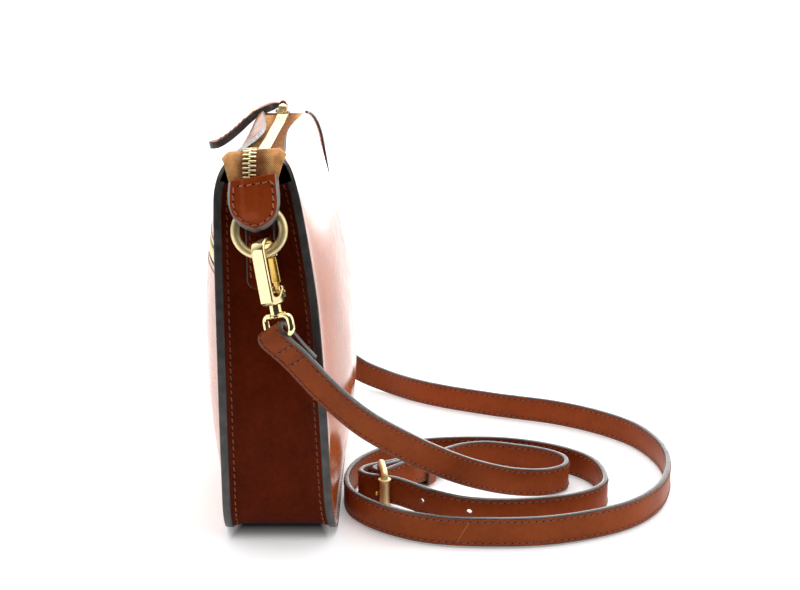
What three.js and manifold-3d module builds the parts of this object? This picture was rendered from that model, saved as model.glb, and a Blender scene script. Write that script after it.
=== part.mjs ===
// Crossbody bag: zipped leather body, a ring at each end, and a buckled strap clipped to the rings.
// Millimetres. +X runs along the bag, -Y is the front with the pocket zip, +Z is up, the floor is z = 0.
import * as THREE from "three";
import { mergeVertices } from "three/addons/utils/BufferGeometryUtils.js";
import Module from "manifold-3d";

const wasm = await Module();
wasm.setup();

// Body
const HALF_LENGTH = 100;
const TOP = 190;
const BOTTOM_CORNER = 22;
const TOP_CORNER = 18;
const PANEL = 1.8;
const GUSSET = 1.6;
const GAP = 0.3;
const FRONT_BULGE = 15.5;
const BACK_BULGE = 12.5;
const BULGE_EASE = 1.5;
const BULGE_HALF_LENGTH = 95;
const BULGE_HEIGHT = 80;
const BULGE_DOWN = 77;
const BULGE_UP = 108;
const BAG_SHIFT = 8.7;

// Inward bow of the two top lips
const LIP_DRAW = { front: 6.5, back: 4.2 };
const LIP_MIDDLE = 10;
const LIP_REACH = 72;
const LIP_START = 166;

// Edges of the two panels, measured from the middle of the base, by height
const EDGE_ROWS = [
  { height: 0, front: -27, back: 27 },
  { height: 28, front: -27.2, back: 26.4 },
  { height: 63, front: -27.5, back: 25 },
  { height: 99, front: -27.6, back: 23 },
  { height: 123, front: -27.6, back: 21 },
  { height: 148, front: -27.5, back: 17.6 },
  { height: 172, front: -27, back: 13.6 },
  { height: 180, front: -25.8, back: 11.6 },
  { height: 186, front: -23.4, back: 9 },
  { height: 190, front: -19.5, back: 5.4 },
];
const LOWER_HEIGHTS = [0, 1.5, 5, 11, 22, 42, 63, 81, 99, 123, 136.4];
const UPPER_HEIGHTS = [145.6, 160, 172, 176, 180, 183, 186, 188.4, 190];
const BACK_HEIGHTS = [...LOWER_HEIGHTS.slice(0, -1), 148, ...UPPER_HEIGHTS.slice(1)];
const PANEL_COLUMNS = [-1, -0.95, -0.84, -0.62, -0.32, 0, 0.32, 0.62, 0.84, 0.95, 1];

// Gusset section, from the panel's inner face: distance across and depth below the outline
const GUSSET_ROWS = [
  { across: 2.05, depth: 0 },
  { across: 2.15, depth: 1.2 },
  { across: 2.95, depth: 2.8 },
  { across: 4.9, depth: 3.8 },
  { across: 8.5, depth: 4.2 },
];

// Top zip, from the far end to the near end: place of the tape's middle and its half width
const ZIP_Y = -7.15;
const TEETH_Y = -8.75;
const ZIP_ROWS = [
  { x: -110.6, z: 182.8, half: 11.6 },
  { x: -109, z: 184.6, half: 12.4 },
  { x: -105, z: 185.5, half: 13.4 },
  { x: -98, z: 185.5, half: 13.4 },
  { x: -92, z: 185.5, half: 13 },
  { x: -86, z: 185.5, half: 13 },
  { x: -74, z: 184.6, half: 13.7 },
  { x: -40, z: 184.5, half: 13.7 },
  { x: 0, z: 184.5, half: 13.6 },
  { x: 40, z: 184.5, half: 13.6 },
  { x: 70, z: 184.5, half: 13.7 },
  { x: 80, z: 185, half: 13.6 },
  { x: 88, z: 187, half: 12.2 },
  { x: 94, z: 190.4, half: 13 },
  { x: 99, z: 194, half: 14.4 },
  { x: 103, z: 195.5, half: 15 },
  { x: 107.2, z: 193.2, half: 14.4 },
  { x: 109.6, z: 188.6, half: 13 },
  { x: 110.6, z: 184, half: 11.8 },
];
const TAPE = 0.7;
const TAPE_INNER = 3.3;
const TEETH_HALF = 2.9;
const TEETH_THICK = 2.6;
const TEETH_START = -102;
const CREST_X = 103.5;
const CREST_REACH = 8;
const CREST_TILT = 0.075;
const WING_FROM = 0.76;
const WING_DROOP = 3;
const TAB = 3.2;
const TAB_DROP_FAR = 1.2;
const TAB_ROWS = [
  { x: 110.7, z: 183.5, half: 11.4 },
  { x: 110.8, z: 178, half: 11.9 },
  { x: 110, z: 172, half: 12.1 },
  { x: 108.9, z: 166.5, half: 11 },
  { x: 107.8, z: 162, half: 8.6 },
  { x: 107.2, z: 159, half: 5.4 },
  { x: 106.8, z: 157, half: 0.8 },
];

// Top slider and its leather pull
const SLIDER_X = -101;
const SLIDER_Z = 185.5;
const SLIDER_LENGTH = 11;
const SLIDER_WIDTH = 9;
const SLIDER_PLATE = 1.4;
const BAIL_BAR = 0.9;
const BAIL_RISE = 3.4;
const BAIL_SPAN = 7.4;
const PULL_THICK = 3.6;
const PULL_WIDTH = 11;
const PULL_NECK = 6;
const PULL_ROWS = [
  { out: 0, drop: 0 },
  { out: 5, drop: 1 },
  { out: 11, drop: 3.2 },
  { out: 15.5, drop: 5.4 },
  { out: 20, drop: 8.8 },
  { out: 26, drop: 14.4 },
  { out: 34, drop: 20.8 },
  { out: 39, drop: 23.6 },
  { out: 44.4, drop: 24.6 },
];
const RIVET_OUT = 16.5;
const RIVET_HEAD = 3;
const RIVET_SHANK = 1.3;

// Pocket zip on the front panel
const POCKET_Z = 141;
const POCKET_HALF = 9.5;
const POCKET_TAPE_END = 93;
const POCKET_TEETH_END = 97;
const POCKET_TEETH_THICK = 2;
const POCKET_TEETH_PROUD = 0.3;
const POCKET_SLIDER_X = -80;
const POCKET_PULL_LENGTH = 42;
const POCKET_PULL_WIDTH = 10;
const POCKET_PULL_THICK = 3;

// Ring, its leather loop and the snap hook
const RING_Y = -5.5;
const RING_WIRE = 2.2;
const RING_TOP = new THREE.Vector2(100.5, 168.7);
const RING_LOW = new THREE.Vector2(107, 147.1);
const LOOP_WIDTH = 14;
const LOOP_BACK = 96.1;
const LOOP_LEAF = 1.6;
const LOOP_LOW = 127.5;
const LOOP_EYE = 3.1;
const LOOP_EYE_LOW = 164.9;
const LOOP_EYE_HIGH = 169;
const HOOK_ASIDE = 2.75;
const HOOK_WIDTH = 5.8;
const HOOK_METAL = 2.2;
const THROAT = 4.5;
const THROAT_RISE = 1.1;
const NOSE_END = 2;
const GATE_PIVOT = 19;
const GATE_WIDTH = 4.6;
const GATE_ROOT = 2.6;
const SPINE_END = 24;
const EYE_TOP = 29.5;
const EYE_BAR = 38.3;
const EYE_HALF = 9.3;
const EYE_WIRE = 1.4;
const EYE_CORNER = 2.4;
const POST_RADIUS = 2.1;

// Strap
const STRAP_WIDTH = 15;
const STRAP_THICK = 2.8;
const STRAP_EDGE = 0.6;
const STAND = STRAP_WIDTH / 2 + GAP;
const HOLE_RADIUS = 1.5;
const HOLE_PITCH = 25;

// Buckle
const BUCKLE_ROLLER = new THREE.Vector3(67.5, 52.5, 12.6);
const BUCKLE_ALONG = new THREE.Vector3(-0.993, -0.12, 0).normalize();
const BUCKLE_LENGTH = 18;
const BUCKLE_HALF = 10.6;
const BUCKLE_WIRE = 1.6;
const BUCKLE_CORNER = 3;
const ROLLER_INNER = 1.9;
const ROLLER_OUTER = 2.6;
const ROLLER_HALF = 7.7;
const PRONG_RADIUS = 1;
const KEEPER_LEATHER = 1.4;
const KEEPER_WIDTH = 7;

// Colours
const LEATHER = { color: 0x6b2c16, roughness: 0.35, metalness: 0 };
const STRAP_LEATHER = { color: 0x8a4526, roughness: 0.4, metalness: 0 };
const FABRIC = { color: 0xaa6e3c, roughness: 0.9, metalness: 0 };
const BRASS = { color: 0xe6cf86, roughness: 0.25, metalness: 1 };

const point = (x, y, z) => new THREE.Vector3(x, y, z);
const root = new THREE.Group();
const bag = new THREE.Group();
bag.position.y = BAG_SHIFT;
root.add(bag);

function add(name, geometry, look) {
  const mesh = new THREE.Mesh(geometry, new THREE.MeshStandardMaterial(look));
  mesh.name = name;
  bag.add(mesh);
}

// Closed bodies from points

function closed(points, faces) {
  let volume = 0;
  for (const [a, b, c] of faces) {
    volume += points[a].dot(points[b].clone().cross(points[c]));
  }
  const turned = volume < 0 ? faces.map(([a, b, c]) => [a, c, b]) : faces;
  const geometry = new THREE.BufferGeometry().setFromPoints(points);
  geometry.setIndex(turned.flat());
  return geometry;
}

// A wall between an outer and an inner grid of the same size
function wall(outer, inner) {
  const rows = outer.length;
  const columns = outer[0].length;
  const at = (side, r, c) => (side * rows + r) * columns + c;
  const faces = [];
  const quad = (a, b, c, d) => faces.push([a, b, c], [a, c, d]);
  for (let r = 0; r < rows - 1; r++) {
    for (let c = 0; c < columns - 1; c++) {
      quad(at(0, r, c), at(0, r, c + 1), at(0, r + 1, c + 1), at(0, r + 1, c));
      quad(at(1, r, c), at(1, r + 1, c), at(1, r + 1, c + 1), at(1, r, c + 1));
    }
    const last = columns - 1;
    quad(at(0, r, 0), at(0, r + 1, 0), at(1, r + 1, 0), at(1, r, 0));
    quad(at(0, r + 1, last), at(0, r, last), at(1, r, last), at(1, r + 1, last));
  }
  for (let c = 0; c < columns - 1; c++) {
    const last = rows - 1;
    quad(at(0, 0, c + 1), at(0, 0, c), at(1, 0, c), at(1, 0, c + 1));
    quad(at(0, last, c), at(0, last, c + 1), at(1, last, c + 1), at(1, last, c));
  }
  return closed([...outer.flat(), ...inner.flat()], faces);
}

// The same grid moved along its own normals
function shifted(grid, amount) {
  const clamp = (value, most) => Math.min(Math.max(value, 0), most);
  return grid.map((row, r) =>
    row.map((here, c) => {
      const before = grid[clamp(r - 1, grid.length - 1)][c];
      const after = grid[clamp(r + 1, grid.length - 1)][c];
      const left = row[clamp(c - 1, row.length - 1)];
      const right = row[clamp(c + 1, row.length - 1)];
      const along = after.clone().sub(before);
      const across = right.clone().sub(left);
      return here.clone().addScaledVector(across.cross(along).normalize(), amount);
    }),
  );
}

// A body through rings of points, with flat ends or closed on itself
function loft(rings, loop = false) {
  const count = rings[0].length;
  const faces = [];
  const spans = loop ? rings.length : rings.length - 1;
  for (let r = 0; r < spans; r++) {
    const next = (r + 1) % rings.length;
    for (let i = 0; i < count; i++) {
      const j = (i + 1) % count;
      faces.push([r * count + i, r * count + j, next * count + j]);
      faces.push([r * count + i, next * count + j, next * count + i]);
    }
  }
  if (!loop) {
    const end = (rings.length - 1) * count;
    for (let i = 1; i < count - 1; i++) {
      faces.push([0, i + 1, i], [end, end + i, end + i + 1]);
    }
  }
  return closed(rings.flat(), faces);
}

function solid(geometry) {
  const bare = new THREE.BufferGeometry();
  bare.setAttribute("position", geometry.getAttribute("position").clone());
  if (geometry.index) bare.setIndex(geometry.index.clone());
  const merged = mergeVertices(bare, 1e-4);
  const vertProperties = new Float32Array(merged.getAttribute("position").array);
  const triVerts = new Uint32Array(merged.index.array);
  return new wasm.Manifold(new wasm.Mesh({ numProp: 3, vertProperties, triVerts }));
}

function geometryOf(manifold) {
  const mesh = manifold.getMesh();
  const geometry = new THREE.BufferGeometry();
  geometry.setAttribute("position", new THREE.BufferAttribute(mesh.vertProperties, 3));
  geometry.setIndex(new THREE.BufferAttribute(mesh.triVerts, 1));
  return geometry;
}

// A shape drawn in the plane of two axes and given a depth, centred, along the third
function prism(shape, depth, basis, curveSegments = 6) {
  const geometry = new THREE.ExtrudeGeometry(shape, { depth, bevelEnabled: false, curveSegments });
  geometry.translate(0, 0, -depth / 2);
  return geometry.applyMatrix4(basis);
}

function frame(origin, xAxis, yAxis) {
  const x = xAxis.clone().normalize();
  const z = x.clone().cross(yAxis).normalize();
  const y = z.clone().cross(x);
  return new THREE.Matrix4().makeBasis(x, y, z).setPosition(origin);
}

function rod(from, to, radius, sides = 10) {
  const along = to.clone().sub(from);
  const geometry = new THREE.CylinderGeometry(radius, radius, along.length(), sides);
  const turn = new THREE.Quaternion().setFromUnitVectors(point(0, 1, 0), along.clone().normalize());
  geometry.applyQuaternion(turn);
  const middle = from.clone().lerp(to, 0.5);
  return geometry.translate(middle.x, middle.y, middle.z);
}

function roundRectangle(halfX, halfY, radius) {
  const shape = new THREE.Shape();
  shape.moveTo(-halfX + radius, -halfY);
  shape.lineTo(halfX - radius, -halfY);
  shape.absarc(halfX - radius, -halfY + radius, radius, -Math.PI / 2, 0);
  shape.lineTo(halfX, halfY - radius);
  shape.absarc(halfX - radius, halfY - radius, radius, 0, Math.PI / 2);
  shape.lineTo(-halfX + radius, halfY);
  shape.absarc(-halfX + radius, halfY - radius, radius, Math.PI / 2, Math.PI);
  shape.lineTo(-halfX, -halfY + radius);
  shape.absarc(-halfX + radius, -halfY + radius, radius, Math.PI, 1.5 * Math.PI);
  return shape;
}

// A round wire bent along a rounded rectangle, in the plane of the basis
function wireLoop(halfX, halfY, corner, wire, basis, sides = 8) {
  const rings = [];
  const quarter = [0, 1 / 3, 2 / 3, 1];
  const centres = [
    [halfX - corner, halfY - corner, 0],
    [-halfX + corner, halfY - corner, 90],
    [-halfX + corner, -halfY + corner, 180],
    [halfX - corner, -halfY + corner, 270],
  ];
  for (const [cx, cy, start] of centres) {
    for (const part of quarter) {
      const angle = THREE.MathUtils.degToRad(start + 90 * part);
      const out = point(Math.cos(angle), Math.sin(angle), 0);
      const centre = point(cx, cy, 0).addScaledVector(out, corner);
      const ring = [];
      for (let i = 0; i < sides; i++) {
        const around = (2 * Math.PI * i) / sides;
        const spot = centre.clone().addScaledVector(out, wire * Math.cos(around));
        spot.z += wire * Math.sin(around);
        ring.push(spot.applyMatrix4(basis));
      }
      rings.push(ring);
    }
  }
  return loft(rings, true);
}

// Leather body

function edge(side, height) {
  const last = EDGE_ROWS.length - 1;
  const next = Math.max(1, EDGE_ROWS.findIndex((row) => row.height >= Math.min(height, TOP)));
  const high = EDGE_ROWS[Math.min(next, last)];
  const low = EDGE_ROWS[Math.min(next, last) - 1];
  const part = (height - low.height) / (high.height - low.height);
  return low[side] + (high[side] - low[side]) * part;
}

function bulge(side, x, height) {
  const reach = height < BULGE_HEIGHT ? BULGE_DOWN : BULGE_UP;
  const along = Math.max(0, 1 - Math.abs(x / BULGE_HALF_LENGTH) ** 2.6);
  const up = Math.max(0, 1 - Math.abs((height - BULGE_HEIGHT) / reach) ** 2.4);
  const full = (side === "front" ? FRONT_BULGE : BACK_BULGE) * along * up;
  return Math.hypot(full, BULGE_EASE) - BULGE_EASE;
}

function lipDraw(side, x, height) {
  const along = Math.min(1, Math.abs(x - LIP_MIDDLE) / LIP_REACH);
  const up = Math.min(1, Math.max(0, (height - LIP_START) / (TOP - LIP_START)));
  return LIP_DRAW[side] * Math.cos((along * Math.PI) / 2) ** 2 * up ** 1.5;
}

function panelY(side, x, height) {
  const out = side === "front" ? -1 : 1;
  return edge(side, height) + out * (bulge(side, x, height) - lipDraw(side, x, height));
}

function halfLength(height) {
  const low = Math.max(0, BOTTOM_CORNER - height);
  const high = Math.max(0, height - TOP + TOP_CORNER);
  const fromLow = BOTTOM_CORNER - Math.sqrt(BOTTOM_CORNER ** 2 - low ** 2);
  const fromHigh = TOP_CORNER - Math.sqrt(TOP_CORNER ** 2 - high ** 2);
  return HALF_LENGTH - fromLow - fromHigh;
}

function panel(side, heights) {
  const outer = heights.map((height) =>
    PANEL_COLUMNS.map((part) => {
      const x = part * halfLength(height);
      return point(x, panelY(side, x, height), height);
    }),
  );
  const inner = shifted(outer, side === "front" ? -PANEL : PANEL);
  const levels = [0, heights.length - 1];
  for (const level of levels) {
    for (const spot of inner[level]) spot.z = heights[level];
  }
  return wall(outer, inner);
}

// Stations of the panels' outline from the near end's top, under the bottom, to the far end's top
function outline() {
  const stations = [];
  const straight = [172, 148, 123, 99, 63, 40];
  const topCentre = HALF_LENGTH - TOP_CORNER;
  const lowCentre = HALF_LENGTH - BOTTOM_CORNER;
  for (const degrees of [26, 13]) {
    const angle = THREE.MathUtils.degToRad(degrees);
    const normal = new THREE.Vector2(Math.cos(angle), Math.sin(angle));
    const z = TOP - TOP_CORNER + TOP_CORNER * normal.y;
    stations.push({ x: topCentre + TOP_CORNER * normal.x, z, normal });
  }
  for (const z of straight) stations.push({ x: HALF_LENGTH, z, normal: new THREE.Vector2(1, 0) });
  for (const degrees of [0, 22.5, 45, 67.5, 90]) {
    const angle = THREE.MathUtils.degToRad(degrees);
    const normal = new THREE.Vector2(Math.cos(angle), -Math.sin(angle));
    const z = BOTTOM_CORNER + BOTTOM_CORNER * normal.y;
    stations.push({ x: lowCentre + BOTTOM_CORNER * normal.x, z, normal });
  }
  stations.push({ x: lowCentre / 2, z: 0, normal: new THREE.Vector2(0, -1) });
  const mirrored = stations.map(({ x, z, normal }) => {
    return { x: -x, z, normal: new THREE.Vector2(-normal.x, normal.y) };
  });
  const middle = { x: 0, z: 0, normal: new THREE.Vector2(0, -1) };
  return [...stations, middle, ...mirrored.reverse()];
}

function gusset() {
  const outer = outline().map(({ x, z, normal }) => {
    const front = edge("front", z) + PANEL;
    const back = edge("back", z) - PANEL;
    const spot = (y, depth) => point(x - normal.x * depth, y, z - normal.y * depth);
    const deepest = GUSSET_ROWS[GUSSET_ROWS.length - 1].depth;
    const frontHalf = GUSSET_ROWS.map(({ across, depth }) => spot(front + across, depth));
    const backHalf = GUSSET_ROWS.map(({ across, depth }) => spot(back - across, depth));
    return [...frontHalf, spot((front + back) / 2, deepest), ...backHalf.reverse()];
  });
  return wall(outer, shifted(outer, GUSSET));
}

// Zips

const zipCurve = new THREE.CatmullRomCurve3(ZIP_ROWS.map(({ x, z, half }) => point(x, half, z)));

function zipStations() {
  const steps = 1.5 * (ZIP_ROWS.length - 1);
  return Array.from({ length: steps + 1 }, (_, i) => {
    const here = zipCurve.getPoint(i / steps);
    const ahead = zipCurve.getTangent(i / steps);
    const normal = point(-ahead.z, 0, ahead.x).normalize();
    return { middle: point(here.x, ZIP_Y, here.z), half: here.y, normal };
  });
}

// One half of the tape, with a wing that droops where it turns over the near end
function tape(side) {
  const inner = side * (TEETH_Y - ZIP_Y) + TAPE_INNER;
  const face = (sign) =>
    zipStations().map(({ middle, half, normal }) => {
      const crest = Math.max(0, 1 - ((middle.x - CREST_X) / CREST_REACH) ** 2);
      const outer = half - lipDraw(side < 0 ? "front" : "back", middle.x, middle.z);
      return [inner, outer * WING_FROM, outer].map((reach) => {
        const droop = reach === outer ? WING_DROOP : 0;
        const rise = (side * reach * CREST_TILT - droop) * crest;
        const spot = middle.clone().add(point(0, side * reach, 0));
        return spot.addScaledVector(normal, (sign * TAPE) / 2 + rise);
      });
    });
  return wall(face(1), face(-1));
}

function bevelled(halfWide, halfThick, cut) {
  return [
    [halfWide, halfThick - cut],
    [halfWide - cut, halfThick],
    [cut - halfWide, halfThick],
    [-halfWide, halfThick - cut],
    [-halfWide, cut - halfThick],
    [cut - halfWide, -halfThick],
    [halfWide - cut, -halfThick],
    [halfWide, cut - halfThick],
  ];
}

function zipTeeth() {
  const section = bevelled(TEETH_HALF, TEETH_THICK / 2, 0.6);
  const stations = zipStations().filter(({ middle }) => middle.x > TEETH_START);
  return loft(
    stations.map(({ middle, normal }) =>
      section.map(([y, up]) => point(middle.x, TEETH_Y + y, middle.z).addScaledVector(normal, up)),
    ),
  );
}

function zipTab(direction, drop) {
  const shares = [-1, -0.5, 0, 0.5, 1];
  const middle = TAB_ROWS.map(({ x, z, half }) =>
    shares.map((share) => point(direction * x, ZIP_Y + share * half, z - drop)),
  );
  return wall(shifted(middle, TAB / 2), shifted(middle, -TAB / 2));
}

function zipSlider() {
  const high = SLIDER_Z + TEETH_THICK / 2 + GAP;
  const low = SLIDER_Z - TEETH_THICK / 2 - GAP;
  const neckX = SLIDER_X - SLIDER_LENGTH / 2 + 1.2;
  const flat = frame(point(SLIDER_X, TEETH_Y, 0), point(1, 0, 0), point(0, 1, 0));
  const plate = roundRectangle(SLIDER_LENGTH / 2, SLIDER_WIDTH / 2, 1.8);
  const over = prism(plate, SLIDER_PLATE, flat, 3).translate(0, 0, high + SLIDER_PLATE / 2);
  const under = prism(plate, SLIDER_PLATE, flat, 3).translate(0, 0, low - SLIDER_PLATE / 2);
  const neck = rod(point(neckX, TEETH_Y, low - 0.5), point(neckX, TEETH_Y, high + 0.5), 1);
  const barZ = high + SLIDER_PLATE + BAIL_RISE;
  const ends = [-1, 1].map((side) => SLIDER_X + (side * (BAIL_SPAN + 2 * BAIL_BAR)) / 2);
  const leg = (x) => rod(point(x, TEETH_Y, high + 0.5), point(x, TEETH_Y, barZ + BAIL_BAR), BAIL_BAR);
  const bar = rod(point(ends[0], TEETH_Y, barZ), point(ends[1], TEETH_Y, barZ), BAIL_BAR);
  return geometryOf(wasm.Manifold.union([over, under, neck, ...ends.map(leg), bar].map(solid)));
}

const BAIL = point(SLIDER_X, TEETH_Y, SLIDER_Z + TEETH_THICK / 2 + GAP + SLIDER_PLATE + BAIL_RISE);

// A pull cut from a folded strip: side profile with an eye round the bail's bar, and a plan outline
function pullBody(rows, thick, width, neck, toWorld) {
  const curve = new THREE.SplineCurve(rows.map(({ out, drop }) => new THREE.Vector2(out, -drop)));
  const steps = 14;
  const sides = { upper: [], lower: [] };
  for (let i = 0; i <= steps; i++) {
    const here = curve.getPoint(i / steps);
    const ahead = curve.getTangent(i / steps);
    const normal = new THREE.Vector2(-ahead.y, ahead.x);
    sides.upper.push(here.clone().addScaledVector(normal, thick / 2));
    sides.lower.push(here.clone().addScaledVector(normal, -thick / 2));
  }
  const strip = new THREE.Shape([...sides.lower, ...sides.upper.reverse()]);
  const eyeOuter = BAIL_BAR + 0.4 + thick / 2;
  const deep = width + 2;
  const side = new THREE.Matrix4();
  const length = rows[rows.length - 1].out;
  const plan = new THREE.Shape();
  plan.moveTo(-eyeOuter - 1, -neck / 2);
  plan.lineTo(5, -neck / 2);
  plan.lineTo(9, -width / 2);
  plan.lineTo(length - 5, -width / 2);
  plan.quadraticCurveTo(length, -width / 2, length, 0);
  plan.quadraticCurveTo(length, width / 2, length - 5, width / 2);
  plan.lineTo(9, width / 2);
  plan.lineTo(5, neck / 2);
  plan.lineTo(-eyeOuter - 1, neck / 2);
  const flat = frame(point(0, 0, 0), point(1, 0, 0), point(0, 0, 1));
  const eye = new THREE.Shape().absarc(0, 0, eyeOuter, 0, 2 * Math.PI);
  const hole = new THREE.Shape().absarc(0, 0, BAIL_BAR + 0.4, 0, 2 * Math.PI);
  const body = solid(prism(strip, deep, side)).add(solid(prism(eye, deep, side)));
  const cut = body.subtract(solid(prism(hole, deep + 2, side)));
  return cut.intersect(solid(prism(plan, 200, flat, 4))).transform(toWorld.elements);
}

function zipPull() {
  const toWorld = frame(BAIL, point(0, -1, 0), point(0, 0, 1));
  const body = pullBody(PULL_ROWS, PULL_THICK, PULL_WIDTH, PULL_NECK, toWorld);
  const { spot, up } = rivetPlace();
  const reach = PULL_THICK + 1;
  const low = spot.clone().addScaledVector(up, -reach);
  const high = spot.clone().addScaledVector(up, reach);
  const bore = rod(low, high, RIVET_SHANK + GAP);
  return geometryOf(body.subtract(solid(bore)));
}

function rivetPlace() {
  const curve = new THREE.SplineCurve(PULL_ROWS.map(({ out, drop }) => new THREE.Vector2(out, -drop)));
  const parts = Array.from({ length: 201 }, (_, i) => i / 200);
  const part = parts.find((t) => curve.getPoint(t).x >= RIVET_OUT);
  const here = curve.getPoint(part);
  const ahead = curve.getTangent(part);
  const spot = point(BAIL.x, BAIL.y - here.x, BAIL.z + here.y);
  const up = point(0, ahead.y, ahead.x).normalize();
  return { spot, up };
}

function pullRivet() {
  const { spot, up } = rivetPlace();
  const half = PULL_THICK / 2 + GAP;
  const profile = [
    [0, -half - 0.9],
    [RIVET_HEAD - 0.6, -half - 0.6],
    [RIVET_HEAD, -half],
    [RIVET_SHANK, -half],
    [RIVET_SHANK, half],
    [RIVET_HEAD, half],
    [RIVET_HEAD - 0.8, half + 0.9],
    [0, half + 1.3],
  ];
  const geometry = new THREE.LatheGeometry(profile.map(([r, y]) => new THREE.Vector2(r, y)), 14);
  geometry.applyQuaternion(new THREE.Quaternion().setFromUnitVectors(point(0, 1, 0), up));
  return geometry.translate(spot.x, spot.y, spot.z);
}

// Front surface of the pocket zip's strip, moved inwards by a depth
function pocketStrip(end, halfHigh, nearDepth, thick) {
  const columns = PANEL_COLUMNS.map((part) => part * end);
  const heights = [POCKET_Z - halfHigh, POCKET_Z, POCKET_Z + halfHigh];
  const front = heights.map((z) => columns.map((x) => point(x, panelY("front", x, z), z)));
  return wall(shifted(front, -nearDepth), shifted(front, -nearDepth - thick));
}

// The pocket slider's frame: along the zip, up, and out of the panel
function pocketFrame() {
  const step = 3;
  const x = POCKET_SLIDER_X;
  const rise = panelY("front", x + step, POCKET_Z) - panelY("front", x - step, POCKET_Z);
  const along = point(2 * step, rise, 0);
  return frame(point(x, panelY("front", x, POCKET_Z), POCKET_Z), along, point(0, 0, 1));
}

const POCKET_PLATE = POCKET_TEETH_PROUD + GAP;
const POCKET_BAR = POCKET_PLATE + SLIDER_PLATE + BAIL_RISE;

function pocketSlider() {
  const flat = new THREE.Matrix4();
  const plate = prism(roundRectangle(SLIDER_LENGTH / 2, SLIDER_WIDTH / 2, 1.8), SLIDER_PLATE, flat, 3);
  plate.translate(0, 0, POCKET_PLATE + SLIDER_PLATE / 2);
  const ends = [-1, 1].map((side) => (side * (BAIL_SPAN + 2 * BAIL_BAR)) / 2);
  const leg = (x) => rod(point(x, 0, POCKET_PLATE + 0.5), point(x, 0, POCKET_BAR + BAIL_BAR), BAIL_BAR);
  const bar = rod(point(ends[0], 0, POCKET_BAR), point(ends[1], 0, POCKET_BAR), BAIL_BAR);
  const body = wasm.Manifold.union([plate, ...ends.map(leg), bar].map(solid));
  return geometryOf(body.transform(pocketFrame().elements));
}

function pocketPull() {
  const rows = [
    { out: 0, drop: 0 },
    { out: POCKET_PULL_LENGTH / 2, drop: 0 },
    { out: POCKET_PULL_LENGTH, drop: 0 },
  ];
  const hanging = frame(point(0, 0, POCKET_BAR), point(0, -1, 0.03), point(0, 0.03, 1));
  const toWorld = pocketFrame().multiply(hanging);
  return geometryOf(pullBody(rows, POCKET_PULL_THICK, POCKET_PULL_WIDTH, PULL_NECK, toWorld));
}

// Rings, their leather loops and the snap hooks

function ringLoop(direction) {
  const front = LOOP_BACK + 2 * LOOP_LEAF;
  const eyeX = LOOP_BACK + LOOP_LEAF + LOOP_EYE - 0.3;
  const outerRadius = LOOP_EYE + LOOP_LEAF;
  const side = new THREE.Shape();
  side.moveTo(LOOP_BACK, LOOP_LOW);
  side.lineTo(front, LOOP_LOW);
  side.lineTo(front, LOOP_EYE_LOW - 9);
  side.quadraticCurveTo(front + 0.6, LOOP_EYE_LOW - 5, eyeX + outerRadius, LOOP_EYE_LOW);
  side.lineTo(eyeX + outerRadius, LOOP_EYE_HIGH);
  side.absarc(eyeX, LOOP_EYE_HIGH, outerRadius, 0, Math.PI * 0.75);
  side.lineTo(LOOP_BACK, LOOP_EYE_HIGH - 2);
  const hole = new THREE.Path();
  hole.moveTo(eyeX + LOOP_EYE, LOOP_EYE_LOW);
  hole.absarc(eyeX, LOOP_EYE_LOW, LOOP_EYE, 0, -Math.PI, true);
  hole.lineTo(eyeX - LOOP_EYE, LOOP_EYE_HIGH);
  hole.absarc(eyeX, LOOP_EYE_HIGH, LOOP_EYE, Math.PI, 0, true);
  side.holes.push(hole);
  const upright = frame(point(0, RING_Y, 0), point(1, 0, 0), point(0, 0, 1));
  const strip = prism(side, LOOP_WIDTH + 2, upright);
  const face = roundRectangle(LOOP_WIDTH / 2, 25, 5);
  const facing = frame(point(100, RING_Y, LOOP_LOW + 25), point(0, 1, 0), point(0, 0, 1));
  const shape = solid(strip).intersect(solid(prism(face, 40, facing)));
  return geometryOf(direction > 0 ? shape : shape.mirror([1, 0, 0]));
}

function ring(direction) {
  const up = RING_TOP.clone().sub(RING_LOW);
  const centre = RING_TOP.clone().add(RING_LOW).multiplyScalar(0.5);
  const torus = new THREE.TorusGeometry(up.length() / 2, RING_WIRE, 8, 22);
  const basis = frame(
    point(direction * centre.x, RING_Y, centre.y),
    point(0, 1, 0),
    point(direction * up.x, 0, up.y),
  );
  return torus.applyMatrix4(basis);
}

// A hook's axes: down its length, from spine to gate, and along its eye's bar
const NEAR_HOOK = {
  place: point(RING_LOW.x - 0.1, RING_Y + HOOK_ASIDE, RING_LOW.y + 0.33),
  down: point(0.15, 0.18, -0.97).normalize(),
  inward: point(-0.9, 0.43, -0.03),
  bar: point(0.6, 0.66, 0.46),
};
const FAR_HOOK = {
  place: point(-RING_LOW.x, RING_Y, RING_LOW.y),
  down: point(-0.12, 0.1, -0.988).normalize(),
  inward: point(0.96, 0.28, -0.09),
  bar: point(0, 1, 0.1),
};

function hookBasis(hook) {
  const up = hook.down.clone().negate();
  const across = hook.inward.clone().cross(up).normalize();
  const inward = up.clone().cross(across).normalize();
  return new THREE.Matrix4().makeBasis(inward, up, across).setPosition(hook.place);
}

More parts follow.
